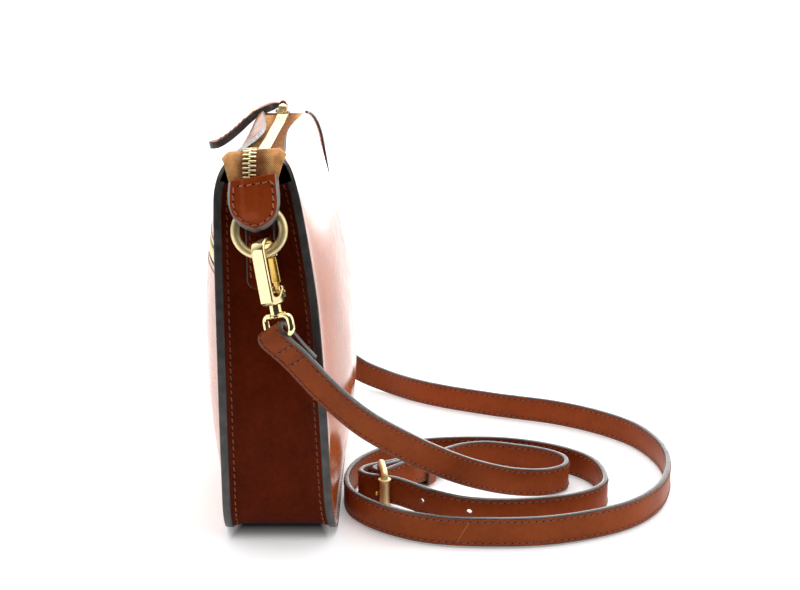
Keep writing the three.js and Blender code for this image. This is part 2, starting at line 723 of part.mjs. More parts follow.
function hookBody(hook) {
  const outer = THROAT + HOOK_METAL;
  const pivotX = THROAT + HOOK_METAL / 2;
  const seat = HOOK_METAL / 2 + 0.9 + GAP;
  const shape = new THREE.Shape();
  shape.moveTo(-outer, -SPINE_END);
  shape.lineTo(-outer, THROAT_RISE);
  shape.absarc(0, THROAT_RISE, outer, Math.PI, 0, true);
  shape.lineTo(outer, -NOSE_END);
  shape.lineTo(THROAT, -NOSE_END);
  shape.lineTo(THROAT, THROAT_RISE);
  shape.absarc(0, THROAT_RISE, THROAT, 0, Math.PI, false);
  shape.lineTo(-THROAT, -GATE_PIVOT + 2);
  shape.quadraticCurveTo(-THROAT + 0.5, -GATE_PIVOT - 1.5, 0, -GATE_PIVOT - 1.5);
  shape.lineTo(pivotX - 2, -GATE_PIVOT + 1.2);
  shape.lineTo(outer + 0.6, -GATE_PIVOT + 1.2);
  shape.lineTo(outer + 0.6, -SPINE_END + 3);
  shape.lineTo(3.4, -SPINE_END);
  const basis = hookBasis(hook);
  const flat = new THREE.Matrix4();
  const slot = new THREE.Shape().absarc(pivotX, -GATE_PIVOT, seat, 0, 2 * Math.PI);
  const mouth = roundRectangle(1.8, 2.4, 0.2);
  const mouthPlace = new THREE.Matrix4().makeTranslation(pivotX + 0.7, -GATE_PIVOT + 1.2, 0);
  const pin = new THREE.Shape().absarc(pivotX, -GATE_PIVOT, 0.88, 0, 2 * Math.PI);
  let body = solid(prism(shape, HOOK_WIDTH, flat));
  body = body.subtract(solid(prism(slot, GATE_ROOT + 2 * GAP, flat)));
  body = body.subtract(solid(prism(mouth, GATE_ROOT + 2 * GAP, mouthPlace)));
  body = body.subtract(solid(prism(pin, HOOK_WIDTH + 2, flat, 10)));
  return geometryOf(body.transform(basis.elements));
}

function hookGate(hook) {
  const pivotX = THROAT + HOOK_METAL / 2;
  const flat = new THREE.Matrix4();
  const lever = new THREE.Shape();
  lever.moveTo(THROAT, -NOSE_END - GAP);
  lever.lineTo(THROAT + HOOK_METAL, -NOSE_END - GAP);
  lever.lineTo(THROAT + HOOK_METAL, -GATE_PIVOT + 4.2);
  lever.lineTo(THROAT, -GATE_PIVOT + 4.2);
  const root = new THREE.Shape();
  root.moveTo(THROAT, -GATE_PIVOT + 5);
  root.lineTo(THROAT, -GATE_PIVOT);
  root.absarc(pivotX, -GATE_PIVOT, HOOK_METAL / 2, Math.PI, 2 * Math.PI, false);
  root.lineTo(THROAT + HOOK_METAL, -GATE_PIVOT + 5);
  const pin = new THREE.Shape().absarc(pivotX, -GATE_PIVOT, 0.8, 0, 2 * Math.PI);
  const body = wasm.Manifold.union([
    solid(prism(lever, GATE_WIDTH, flat)),
    solid(prism(root, GATE_ROOT, flat)),
    solid(prism(pin, HOOK_WIDTH, flat, 10)),
  ]);
  return geometryOf(body.transform(hookBasis(hook).elements));
}

function barPlace(hook) {
  return hook.place.clone().addScaledVector(hook.down, EYE_BAR);
}

function barAxis(hook) {
  const axis = hook.bar.clone();
  return axis.addScaledVector(hook.down, -axis.dot(hook.down)).normalize();
}

function swivel(hook) {
  const halfHigh = (EYE_BAR - EYE_TOP) / 2;
  const centre = hook.place.clone().addScaledVector(hook.down, EYE_BAR - halfHigh);
  const basis = frame(centre, barAxis(hook), hook.down.clone().negate());
  const eye = wireLoop(EYE_HALF, halfHigh, EYE_CORNER, EYE_WIRE, basis);
  const from = hook.place.clone().addScaledVector(hook.down, SPINE_END + GAP);
  const to = hook.place.clone().addScaledVector(hook.down, EYE_TOP + 0.4);
  const post = rod(from, to, POST_RADIUS, 12);
  return geometryOf(solid(eye).add(solid(post)));
}

// Strap routes: place of the ribbon's middle and the direction of its width

// The strap's end folded round a bar: the short layer, the bend, then the long layer
function foldRows(bar, wire, leave, side, wide) {
  const bend = wire + 0.4 + STRAP_THICK / 2;
  const along = leave.clone().normalize();
  const out = side.clone().addScaledVector(along, -side.dot(along)).normalize();
  const rows = [];
  const layer = (far, off) => {
    const place = bar.clone().addScaledVector(along, far).addScaledVector(out, off);
    rows.push({ place, wide });
  };
  layer(21, -1.65);
  layer(13, -1.8);
  layer(6, -2.6);
  for (const degrees of [-90, -45, 0, 45, 90]) {
    const angle = THREE.MathUtils.degToRad(degrees);
    layer(-bend * Math.cos(angle), bend * Math.sin(angle));
  }
  layer(6, 2.6);
  layer(13, 1.8);
  layer(21, 1.65);
  return rows;
}

const UPRIGHT = point(0, 0, 1);
const standing = (x, y, z = STAND) => ({ place: point(x, y, z), wide: UPRIGHT });
const turned = (x, y, z, wide) => ({ place: point(x, y, z), wide });
const HEEL_BAR = BUCKLE_ROLLER.clone().addScaledVector(BUCKLE_ALONG, BUCKLE_LENGTH);

const FAR_LEAVE = point(-0.3, 0.1, -0.95);
const FAR_SIDE = point(-1, 0, 0);
const NEAR_LEAVE = point(-0.22, 0.56, -0.8);
const NEAR_SIDE = point(0.74, -0.53, -0.4);
const HEEL_LEAVE = point(-0.64, 0.77, 0);
const HEEL_SIDE = point(-0.77, -0.64, 0);

const LONG_ROUTE = [
  ...foldRows(barPlace(FAR_HOOK), EYE_WIRE, FAR_LEAVE, FAR_SIDE, barAxis(FAR_HOOK)),
  turned(-126, 3, 70, point(0.1, 0.98, 0.12)),
  turned(-138, 9, 46, point(0.3, 0.9, 0.35)),
  turned(-148, 19, 25, point(0.35, 0.6, 0.7)),
  turned(-150, 33, 13, point(0.1, 0.2, 0.97)),
  standing(-140, 50, 8.3),
  standing(-114.5, 77.4),
  standing(-92, 117.2),
  standing(-75, 155.8),
  standing(-56.9, 179.6),
  standing(-36, 196.1),
  standing(-11.2, 204.6),
  standing(15, 206.5),
  standing(44.6, 201.1),
  standing(67.9, 190.5),
  standing(87.5, 172.2),
  standing(103.6, 137.9),
  standing(107, 105.5),
  standing(102.5, 73.7),
  standing(89, 51.5),
  standing(71, 36.8),
  standing(55, 32.6),
  standing(37.4, 33.8),
  standing(18.6, 40.8),
  standing(0.4, 57),
  standing(-8.4, 76.6),
  standing(-11.2, 99.8),
  standing(-8.6, 124.1),
  standing(3.4, 148.4),
  standing(21, 164),
  standing(43, 168.5),
  standing(60, 165.5),
  standing(73, 152),
  standing(80.5, 128.7),
  standing(82, 106.8),
  standing(79.5, 90, 8.4),
  standing(74.5, 75, 10.4),
  standing(69, 66, 11.8),
  standing(64, 57.8, 12.6),
  standing(60.8, 49.5, 12.6),
  standing(58.2, 43, 12.6),
  standing(54, 40, 12.6),
  standing(48.4, 41.4, 12.5),
  standing(43.8, 45.8, 12.3),
  standing(40.4, 51, 12.1),
  standing(36.7, 56.9, 11.9),
  standing(31.6, 63.3, 11.4),
  standing(24.9, 69.2, 10.6),
  standing(15, 76.3, 9.3),
  standing(5.5, 83.4, 8.2),
];

const SHORT_ROUTE = [
  ...foldRows(barPlace(NEAR_HOOK), EYE_WIRE, NEAR_LEAVE, NEAR_SIDE, barAxis(NEAR_HOOK)),
  turned(106.5, 24.6, 78.2, point(0.55, 0.5, 0.66)),
  turned(103, 34.6, 68.8, point(0.45, 0.4, 0.8)),
  turned(97, 44.8, 59.4, point(0.35, 0.3, 0.88)),
  turned(86, 59.9, 46.5, point(0.25, 0.2, 0.95)),
  turned(75, 73.7, 35.4, point(0.15, 0.1, 0.98)),
  turned(59, 96.5, 20.6, point(0.05, 0, 1)),
  standing(46, 120.3, 10.6),
  standing(40, 138, 8),
  standing(31.5, 149),
  standing(19, 149.5),
  standing(9, 141),
  standing(1, 124),
  standing(-3.4, 108),
  standing(-0.4, 95.5),
  standing(7, 87, 8.2),
  standing(17, 79.6, 9.2),
  standing(27, 72.4, 10.8),
  ...foldRows(HEEL_BAR, BUCKLE_WIRE, HEEL_LEAVE, HEEL_SIDE, UPRIGHT).reverse(),
];

function ribbonStations(route, step) {
  const path = new THREE.CatmullRomCurve3(route.map(({ place }) => place));
  const widths = new THREE.CatmullRomCurve3(route.map(({ wide }) => wide));
  path.arcLengthDivisions = 2000;
  const steps = Math.round(path.getLength() / step);
  return Array.from({ length: steps + 1 }, (_, i) => {
    const t = path.getUtoTmapping(i / steps);
    const along = path.getTangent(t).normalize();
    const wide = widths.getPoint(t);
    wide.addScaledVector(along, -wide.dot(along)).normalize();
    return { place: path.getPoint(t), along, wide, face: along.clone().cross(wide) };
  });
}

function ribbon(stations) {
  const section = bevelled(STRAP_WIDTH / 2, STRAP_THICK / 2, STRAP_EDGE);
  return loft(
    stations.map(({ place, wide, face }) =>
      section.map(([w, f]) => place.clone().addScaledVector(wide, w).addScaledVector(face, f)),
    ),
  );
}

// Every station in the bends, and every few stations where the strap runs on
function thinned(stations) {
  const kept = [];
  let turn = 0;
  let run = 0;
  stations.forEach((station, i) => {
    const before = stations[Math.max(i - 1, 0)];
    turn += before.along.angleTo(station.along) + before.wide.angleTo(station.wide);
    run += 1;
    const end = i === 0 || i === stations.length - 1;
    if (end || turn > 0.4 || run > 20) {
      kept.push(station);
      turn = 0;
      run = 0;
    }
  });
  return kept;
}

const buckleSpot = (along, off) => {
  const aside = point(-BUCKLE_ALONG.y, BUCKLE_ALONG.x, 0);
  return BUCKLE_ROLLER.clone().addScaledVector(BUCKLE_ALONG, along).addScaledVector(aside, off);
};
const PRONG_ROOT = buckleSpot(12.4, -0.8);
const PRONG_TIP = buckleSpot(-1.4, ROLLER_OUTER + PRONG_RADIUS + 1);

function strapLong() {
  const stations = ribbonStations(LONG_ROUTE, 1);
  let body = solid(ribbon(thinned(stations)));
  const middle = PRONG_ROOT.clone().lerp(PRONG_TIP, 0.5);
  const near = stations.reduce((best, station, i) => {
    return station.place.distanceTo(middle) < stations[best].place.distanceTo(middle) ? i : best;
  }, 0);
  body = body.subtract(solid(rod(PRONG_ROOT, PRONG_TIP, PRONG_RADIUS + GAP)));
  for (const count of [-1, 1, 2]) {
    const { place, face } = stations[near - Math.round(count * HOLE_PITCH)];
    const from = place.clone().addScaledVector(face, -STRAP_THICK);
    const to = place.clone().addScaledVector(face, STRAP_THICK);
    body = body.subtract(solid(rod(from, to, HOLE_RADIUS, 8)));
  }
  return geometryOf(body);
}

// Buckle and keeper

function buckleFrame() {
  const centre = BUCKLE_ROLLER.clone().addScaledVector(BUCKLE_ALONG, BUCKLE_LENGTH / 2);
  const basis = frame(centre, BUCKLE_ALONG, UPRIGHT);
  return wireLoop(BUCKLE_LENGTH / 2, BUCKLE_HALF, BUCKLE_CORNER, BUCKLE_WIRE, basis);
}

function buckleRoller() {
  const lip = ROLLER_OUTER + 0.4;
  const profile = [
    [ROLLER_INNER, -ROLLER_HALF],
    [lip, -ROLLER_HALF],
    [ROLLER_OUTER, -ROLLER_HALF + 1],
    [ROLLER_OUTER, ROLLER_HALF - 1],
    [lip, ROLLER_HALF],
    [ROLLER_INNER, ROLLER_HALF],
    [ROLLER_INNER, -ROLLER_HALF],
  ];
  const geometry = new THREE.LatheGeometry(profile.map(([r, y]) => new THREE.Vector2(r, y)), 14);
  geometry.rotateX(Math.PI / 2);
  return geometry.translate(BUCKLE_ROLLER.x, BUCKLE_ROLLER.y, BUCKLE_ROLLER.z);
}

function keeper() {
  const inside = ribbonStations(SHORT_ROUTE, 1);
  const near = (stations, spot) =>
    stations.reduce((best, s) => (s.place.distanceTo(spot) < best.place.distanceTo(spot) ? s : best));
  const short = near(inside, point(23, 75.2, 10.2));
  const long = near(ribbonStations(LONG_ROUTE, 1), short.place.clone().add(point(-2.2, -3, 0)));
  const middle = short.place.clone().lerp(long.place, 0.5);
  const apart = short.place.clone().sub(long.place).setZ(0).length();
  const halfDeep = apart / 2 + STRAP_THICK / 2 + 0.6;
  const halfHigh = STRAP_WIDTH / 2 + 0.9;
  const outer = roundRectangle(halfDeep + KEEPER_LEATHER, halfHigh + KEEPER_LEATHER, 1.6);
  outer.holes.push(roundRectangle(halfDeep, halfHigh, 0.5));
  const basis = frame(middle, short.face.clone().setZ(0), UPRIGHT);
  return prism(outer, KEEPER_WIDTH, basis, 3);
}

// All pieces

add("front_panel_lower", panel("front", LOWER_HEIGHTS), LEATHER);
add("front_panel_upper", panel("front", UPPER_HEIGHTS), LEATHER);
add("back_panel", panel("back", BACK_HEIGHTS), LEATHER);
add("gusset", gusset(), LEATHER);
add("zip_tape_front", tape(-1), FABRIC);
add("zip_tape_back", tape(1), FABRIC);
add("zip_teeth", zipTeeth(), BRASS);
add("zip_slider", zipSlider(), BRASS);
add("zip_pull", zipPull(), LEATHER);
add("pull_rivet", pullRivet(), BRASS);
add("pocket_zip_tape", pocketStrip(POCKET_TAPE_END, POCKET_HALF, PANEL + 2 * GAP, TAPE), FABRIC);
add(
  "pocket_zip_teeth",
  pocketStrip(POCKET_TEETH_END, TEETH_HALF, -POCKET_TEETH_PROUD, POCKET_TEETH_THICK),
  BRASS,
);
add("pocket_slider", pocketSlider(), BRASS);
add("pocket_pull", pocketPull(), LEATHER);
add("zip_tab_near", zipTab(1, 0), LEATHER);
add("zip_tab_far", zipTab(-1, TAB_DROP_FAR), LEATHER);
for (const [end, direction, hook] of [
  ["near", 1, NEAR_HOOK],
  ["far", -1, FAR_HOOK],
]) {
  add(`ring_loop_${end}`, ringLoop(direction), LEATHER);
  add(`ring_${end}`, ring(direction), BRASS);
  add(`hook_${end}`, hookBody(hook), BRASS);
  add(`gate_${end}`, hookGate(hook), BRASS);
  add(`swivel_${end}`, swivel(hook), BRASS);
}
add("strap_long", strapLong(), STRAP_LEATHER);
add("strap_short", ribbon(thinned(ribbonStations(SHORT_ROUTE, 1))), STRAP_LEATHER);
add("buckle_frame", buckleFrame(), BRASS);
add("buckle_roller", buckleRoller(), BRASS);
add("buckle_prong", rod(PRONG_ROOT, PRONG_TIP, PRONG_RADIUS), BRASS);
add("strap_keeper", keeper(), STRAP_LEATHER);

export default root;
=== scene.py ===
# Looks of the crossbody bag: leather walls, zips, brass fittings and the strap laid on the floor.
# Sizes are millimetres from the middle of the bag's base on the floor; the frame's y is SHIFT more.
import math

import bmesh
import bpy
from mathutils import Matrix, Vector, noise


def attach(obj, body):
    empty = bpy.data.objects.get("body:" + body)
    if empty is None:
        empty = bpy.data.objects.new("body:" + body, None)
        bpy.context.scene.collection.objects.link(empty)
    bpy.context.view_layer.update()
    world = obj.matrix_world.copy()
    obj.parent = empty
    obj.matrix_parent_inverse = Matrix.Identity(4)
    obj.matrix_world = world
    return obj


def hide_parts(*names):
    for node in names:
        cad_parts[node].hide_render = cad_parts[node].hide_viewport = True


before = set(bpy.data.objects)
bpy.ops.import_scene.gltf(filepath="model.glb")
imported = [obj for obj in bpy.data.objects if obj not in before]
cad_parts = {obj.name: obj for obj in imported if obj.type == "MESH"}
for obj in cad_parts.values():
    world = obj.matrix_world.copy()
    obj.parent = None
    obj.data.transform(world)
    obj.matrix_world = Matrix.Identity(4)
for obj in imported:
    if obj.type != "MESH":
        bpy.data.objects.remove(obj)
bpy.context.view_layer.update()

MM = 0.001
SHIFT = 8.7
UP = Vector((0, 0, 1))


# Camera

CAMERA_PLACE = (0.8, (60.4 + SHIFT) * MM, 0.30324)
CAMERA_PITCH = 14.222
CAMERA_LENS = 68.36
CAMERA_SENSOR = 36

camera_data = bpy.data.cameras.new("camera")
camera_data.sensor_fit = "HORIZONTAL"
camera_data.sensor_width = CAMERA_SENSOR
camera_data.lens = CAMERA_LENS
camera_data.clip_start = 0.01
camera = bpy.data.objects.new("camera", camera_data)
camera.location = CAMERA_PLACE
camera.rotation_euler = (math.radians(90 - CAMERA_PITCH), 0, math.radians(90))
bpy.context.collection.objects.link(camera)
bpy.context.scene.camera = camera


# Materials


class Nodes:
    """The nodes of a new material or world, with its shader at hand."""

    def __init__(self, name, group=bpy.data.materials, shader="Principled BSDF"):
        self.owner = group.new(name)
        self.owner.use_nodes = True
        self.tree = self.owner.node_tree
        self.shader = self.tree.nodes[shader]
        self.coords = self.tree.nodes.new("ShaderNodeTexCoord")

    def link(self, source, target):
        self.tree.links.new(source, target)

    def new(self, kind, **inputs):
        node = self.tree.nodes.new(kind)
        for name, value in inputs.items():
            node.inputs[name.replace("_", " ")].default_value = value
        return node

    def math(self, operation, *values):
        node = self.tree.nodes.new("ShaderNodeMath")
        node.operation = operation
        for socket, value in zip(node.inputs, values):
            if isinstance(value, (int, float)):
                socket.default_value = value
            else:
                self.link(value, socket)
        return node.outputs[0]

    def noise(self, scale, detail=3, roughness=0.5):
        node = self.new("ShaderNodeTexNoise", Scale=scale, Detail=detail, Roughness=roughness)
        self.link(self.coords.outputs["Object"], node.inputs["Vector"])
        return node.outputs["Fac"]

    def cells(self, scale):
        node = self.new("ShaderNodeTexVoronoi", Scale=scale)
        self.link(self.coords.outputs["Object"], node.inputs["Vector"])
        return node.outputs["Distance"]

    def ramp(self, source, colours, low=0.35, high=0.65):
        """Colours spread evenly over the middle of a source's range."""
        node = self.tree.nodes.new("ShaderNodeValToRGB")
        stops = node.color_ramp.elements
        while len(stops) < len(colours):
            stops.new(0.5)
        for i, colour in enumerate(colours):
            stops[i].position = low + (high - low) * i / (len(colours) - 1)
            stops[i].color = (*colour, 1)
        self.link(source, node.inputs["Fac"])
        return node.outputs["Color"]

    def split(self, kind):
        """The x, y and z of one kind of coordinates."""
        node = self.new("ShaderNodeSeparateXYZ")
        self.link(self.coords.outputs[kind], node.inputs["Vector"])
        return list(node.outputs)

    def span(self, source, low, high, start=0.3, end=0.7):
        """A source's values from start to end, spread from low to high."""
        node = self.new("ShaderNodeMapRange", From_Min=start, From_Max=end, To_Min=low, To_Max=high)
        self.link(source, node.inputs["Value"])
        return node.outputs["Result"]

    def bump(self, *layers):
        previous = None
        for height, strength, depth in layers:
            node = self.new("ShaderNodeBump", Strength=strength, Distance=depth)
            self.link(height, node.inputs["Height"])
            if previous:
                self.link(previous, node.inputs["Normal"])
            previous = node.outputs["Normal"]
        self.link(previous, self.shader.inputs["Normal"])

    def finish(self, colour, rough, **constants):
        self.link(colour, self.shader.inputs["Base Color"])
        self.link(rough, self.shader.inputs["Roughness"])
        for name, value in constants.items():
            self.shader.inputs[name.replace("_", " ")].default_value = value
        return self.owner


def tones(colour, vary):
    return [tuple(c * share for c in colour) for share in (1 - vary, 1, 1 + vary)]


LEATHER_SHINE = (1, 0.8, 0.68, 1)


def leather(name, colour, vary, rough, specular, grain):
    """Grain is the depth of the hide's waves, creases and pores."""
    n = Nodes(name)
    mixed = n.math("MULTIPLY_ADD", n.noise(420), 0.35, n.math("MULTIPLY", n.noise(42, 5, 0.6), 0.65))
    waves = (n.noise(55, 2), 0.25 * grain, 0.0012)
    creases = (n.cells(520), 0.16 * grain, 0.0002)
    pores = (n.noise(1900, 2), 0.14 * grain, 0.0001)
    n.bump(waves, creases, pores)
    return n.finish(
        n.ramp(mixed, tones(colour, vary)),
        n.span(n.noise(130, 4), rough - 0.04, rough + 0.06),
        Specular_IOR_Level=specular,
        Specular_Tint=LEATHER_SHINE,
    )


def paint(name, colour, vary, rough, specular=0.5):
    n = Nodes(name)
    n.bump((n.noise(700), 0.25, 0.0002))
    return n.finish(
        n.ramp(n.noise(160, 4), tones(colour, vary)),
        n.span(n.noise(300), rough - 0.08, rough + 0.1),
        Specular_IOR_Level=specular,
    )


def thread(name, colour, vary=0.3):
    n = Nodes(name)
    n.bump((n.noise(3800, 2), 0.5, 0.0001))
    colour = n.ramp(n.noise(900), tones(colour, vary))
    return n.finish(colour, n.span(n.noise(1200), 0.5, 0.75), Sheen_Weight=0.2)


def brass(name, colour, vary, rough, scratch=0.05):
    n = Nodes(name)
    n.bump((n.noise(260, 2), scratch, 0.0003), (n.noise(4200, 2), scratch, 0.00003))
    colour = n.ramp(n.noise(90, 4), tones(colour, vary))
    return n.finish(colour, n.span(n.noise(700, 4), rough - 0.04, rough + 0.06), Metallic=1.0)


def woven(name, dark, light, band=0.0022, pitch=0.00095):
    """Herringbone tape, darker along its middle, partly its weave and partly painted shade between the
    teeth: a twill that turns back at each band across the tape.
    """
    n = Nodes(name)
    along, across, _ = n.split("UV")
    slant = n.math("ADD", along, n.math("PINGPONG", across, band))
    ridge = n.math("SINE", n.math("MULTIPLY", slant, 2 * math.pi / pitch))
    cross = n.math("SINE", n.math("MULTIPLY", across, 2 * math.pi / (pitch * 0.45)))
    height = n.math("MULTIPLY_ADD", cross, 0.12, n.math("MULTIPLY_ADD", ridge, 0.3, 0.5))
    # Darker towards the middle under the teeth: partly the weave, partly painted shade in the gaps between
    # the teeth
    middle = n.span(n.math("ABSOLUTE", across), -0.3, 0.05, 0.003, 0.009)
    spots = n.math("MULTIPLY_ADD", n.noise(260, 4), 0.5, n.math("MULTIPLY", height, 0.5))
    shade = n.math("ADD", spots, middle)
    n.bump((height, 0.6, 0.0003), (n.noise(2600, 2), 0.3, 0.0001))
    colour = n.ramp(shade, [dark, light], 0.3, 0.7)
    return n.finish(colour, n.span(n.noise(800), 0.7, 0.9), Specular_IOR_Level=0.15)


PANEL_LEATHER = leather("panel_leather", (0.42, 0.095, 0.022), 0.2, 0.15, 0.42, 0.05)
GUSSET_LEATHER = leather("gusset_leather", (0.097, 0.0107, 0.0018), 0.28, 0.34, 0.05, 0.6)
TRIM_LEATHER = leather("trim_leather", (0.38, 0.06, 0.0105), 0.16, 0.3, 0.12, 0.4)
STRAP_LEATHER = leather("strap_leather", (0.27, 0.056, 0.0135), 0.16, 0.36, 0.08, 0.5)
LINING = paint("lining_cloth", (0.045, 0.026, 0.017), 0.3, 0.85, 0.1)
EDGE_PAINT = paint("edge_paint", (0.055, 0.053, 0.051), 0.3, 0.36)
# Painted highlight: a lighter copy of the edge paint, for the light caught on the tabs' rounded rims
EDGE_PAINT_HIGHLIT = paint("pale_edge_paint", (0.2, 0.19, 0.18), 0.2, 0.36)
STRAP_EDGE = paint("strap_edge_paint", (0.065, 0.058, 0.055), 0.2, 0.26)
PALE_THREAD = thread("pale_thread", (0.5, 0.16, 0.07))
THREAD = thread("stitch_thread", (0.36, 0.078, 0.02))
STRAP_THREAD = thread("strap_thread", (0.2, 0.045, 0.014))
# Painted shade: the dark colour of the discs that stand for the shaded stitch holes
HOLE_SHADE = paint("stitch_hole", (0.014, 0.006, 0.004), 0.3, 0.8, 0.1)
SPLICE = paint("splice_line", (0.36, 0.13, 0.035), 0.15, 0.5, 0.2)
TAPE_CLOTH = woven("tape_cloth", (0.2, 0.06, 0.014), (0.98, 0.5, 0.185))
TEETH_BRASS = brass("teeth_brass", (0.95, 0.82, 0.52), 0.06, 0.42)
SATIN_BRASS = brass("satin_brass", (0.9, 0.74, 0.4), 0.1, 0.5, 0.1)
POLISHED_BRASS = brass("polished_brass", (0.93, 0.78, 0.42), 0.07, 0.13)
DEEP_BRASS = brass("deep_brass", (0.72, 0.46, 0.12), 0.12, 0.2)


# Mesh building

SHARP_ANGLE = 40
BEVEL_ANGLE = 50


class Shape:
    """Points in millimetres and faces, with a material number and flat coordinates for each."""

    def __init__(self):
        self.points = []
        self.faces = []
        self.kinds = []
        self.flat = []

    def add(self, points, faces, kinds, flat=None):
        start = len(self.points)
        self.points += [Vector(p) for p in points]
        self.flat += flat if flat else [(p[0] * MM, p[2] * MM) for p in points]
        self.faces += [[start + i for i in face] for face in faces]
        self.kinds += [kinds] * len(faces) if isinstance(kinds, int) else kinds
        return self

    def loft(self, rings, kinds=0, loop=False, flat=None, cap_kind=None):
        """Joins rings of points; kinds is one material or one for each side of the ring."""
        count = len(rings[0])
        sides = [kinds] * count if isinstance(kinds, int) else kinds
        faces = []
        marks = []
        for r in range(len(rings) if loop else len(rings) - 1):
            here = r * count
            after = (r + 1) % len(rings) * count
            for i in range(count):
                j = (i + 1) % count
                faces.append((here + i, here + j, after + j, after + i))
                marks.append(sides[i])
        if not loop:
            end = (len(rings) - 1) * count
            faces.append(tuple(range(count - 1, -1, -1)))
            faces.append(tuple(range(end, end + count)))
            marks += [sides[0] if cap_kind is None else cap_kind] * 2
        return self.add([p for ring in rings for p in ring], faces, marks, flat)

    def wall(self, outer, inner, first=2):
        """A wall between two grids: material 0 outside, 1 inside, 2 on the rim, first on its first row."""
        rows, columns = len(outer), len(outer[0])
        faces = []
        kinds = []

        def at(side, r, c):
            return (side * rows + r) * columns + c

        for r in range(rows - 1):
            for c in range(columns - 1):
                faces.append((at(0, r, c), at(0, r, c + 1), at(0, r + 1, c + 1), at(0, r + 1, c)))
                faces.append((at(1, r, c), at(1, r + 1, c), at(1, r + 1, c + 1), at(1, r, c + 1)))
                kinds += [0, 1]
        rim = [(0, c) for c in range(columns)] + [(r, columns - 1) for r in range(1, rows)]
        rim += [(rows - 1, c) for c in range(columns - 2, -1, -1)] + [(r, 0) for r in range(rows - 2, 0, -1)]
        for (r, c), (s, d) in zip(rim, rim[1:] + rim[:1]):
            faces.append((at(0, s, d), at(0, r, c), at(1, r, c), at(1, s, d)))
            kinds.append(first if r == s == 0 else 2)
        return self.add([p for grid in (outer, inner) for row in grid for p in row], faces, kinds)


def in_metres(p):
    return (p.x * MM, (p.y + SHIFT) * MM, p.z * MM)


def mesh_of(name, shape, looks):
    """A mesh whose every closed part faces out."""
    mesh = bpy.data.meshes.new(name)
    mesh.from_pydata([in_metres(p) for p in shape.points], [], shape.faces)
    for look in looks:
        mesh.materials.append(look)
    mesh.polygons.foreach_set("material_index", shape.kinds)
    layer = mesh.uv_layers.new(name="flat")
    for loop in mesh.loops:
        layer.data[loop.index].uv = shape.flat[loop.vertex_index]
    work = bmesh.new()
    work.from_mesh(mesh)
    bmesh.ops.recalc_face_normals(work, faces=work.faces)
    work.to_mesh(mesh)
    work.free()
    return mesh


def piece(name, shape, looks, replaces=(), body="bag", bevel=0):
    mesh = mesh_of(name, shape, looks)
    mesh.polygons.foreach_set("use_smooth", [True] * len(mesh.polygons))
    mesh.set_sharp_from_angle(angle=math.radians(SHARP_ANGLE))
    obj = bpy.data.objects.new(name, mesh)
    bpy.context.collection.objects.link(obj)
    if bevel:
        modifier = obj.modifiers.new("round", "BEVEL")
        modifier.width = bevel * MM
        modifier.segments = 2
        modifier.limit_method = "ANGLE"
        modifier.angle_limit = math.radians(BEVEL_ANGLE)
    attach(obj, body)
    if replaces:
        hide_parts(*replaces)
    return obj


def cut(obj, shape):
    """Cuts a shape's solids out of a piece."""
    cutter = bpy.data.objects.new("cutter", mesh_of("cutter", shape, [EDGE_PAINT]))
    bpy.context.collection.objects.link(cutter)
    modifier = obj.modifiers.new("holes", "BOOLEAN")
    modifier.operation = "DIFFERENCE"
    modifier.solver = "EXACT"
    modifier.object = cutter
    graph = bpy.context.evaluated_depsgraph_get()
    done = bpy.data.meshes.new_from_object(obj.evaluated_get(graph))
    obj.modifiers.clear()
    old = obj.data
    obj.data = done
    bpy.data.meshes.remove(old)
    bpy.data.objects.remove(cutter)


def basis(place, x_axis, y_axis):
    x = Vector(x_axis).normalized()
    z = x.cross(Vector(y_axis)).normalized()
    y = z.cross(x)
    return Matrix.Translation(place) @ Matrix((x, y, z)).transposed().to_4x4()


def clamp(value, low=0.0, high=1.0):
    return min(max(value, low), high)


def smooth(value):
    part = clamp(value)
    return part * part * (3 - 2 * part)


def arc(cx, cy, radius, start, end, steps=10):
    angles = [math.radians(start + (end - start) * i / steps) for i in range(steps + 1)]
    return [(cx + radius * math.cos(a), cy + radius * math.sin(a)) for a in angles]


def round_rectangle(half_x, half_y, radius, steps=5):
    x, y = half_x - radius, half_y - radius
    corners = ((x, y, 0), (-x, y, 90), (-x, -y, 180), (x, -y, 270))
    return [p for cx, cy, start in corners for p in arc(cx, cy, radius, start, start + 90, steps)]


def edge_kinds(section, limit):
    """Material 1 on the sides of a section that lie further across than a limit, and 0 on the others."""
    ends = section[1:] + section[:1]
    return [1 if abs(a[0] + b[0]) / 2 > limit else 0 for a, b in zip(section, ends)]


def circle(centre, first, second, radius, sides):
    """Points round a centre, in the plane of two directions."""
    turns = [2 * math.pi * k / sides for k in range(sides)]
    return [centre + (first * math.cos(t) + second * math.sin(t)) * radius for t in turns]


def inset(outline, amount):
    moved = []
    count = len(outline)
    area = sum(outline[i - 1][0] * outline[i][1] - outline[i][0] * outline[i - 1][1] for i in range(count))
    sign = 1 if area > 0 else -1
    for i, (x, y) in enumerate(outline):
        before = Vector(outline[i]) - Vector(outline[i - 1])
        after = Vector(outline[(i + 1) % count]) - Vector(outline[i])
        along = before.normalized() + after.normalized()
        along.normalize()
        moved.append((x - sign * along.y * amount, y + sign * along.x * amount))
    return moved


def slab(shape, outline, thick, soft, place):
    """A flat plate with rounded edges, drawn in the x and y of a basis."""
    half = thick / 2
    levels = []
    for degrees in (0, 30, 60, 90):
        a = math.radians(degrees)
        levels.append((soft * (1 - math.sin(a)), -half + soft * (1 - math.cos(a))))
    levels += [(amount, -z) for amount, z in reversed(levels)]
    rings = []
    for amount, z in levels:
        rings.append([place @ Vector((x, y, z)) for x, y in inset(outline, amount)])
    return shape.loft(rings)


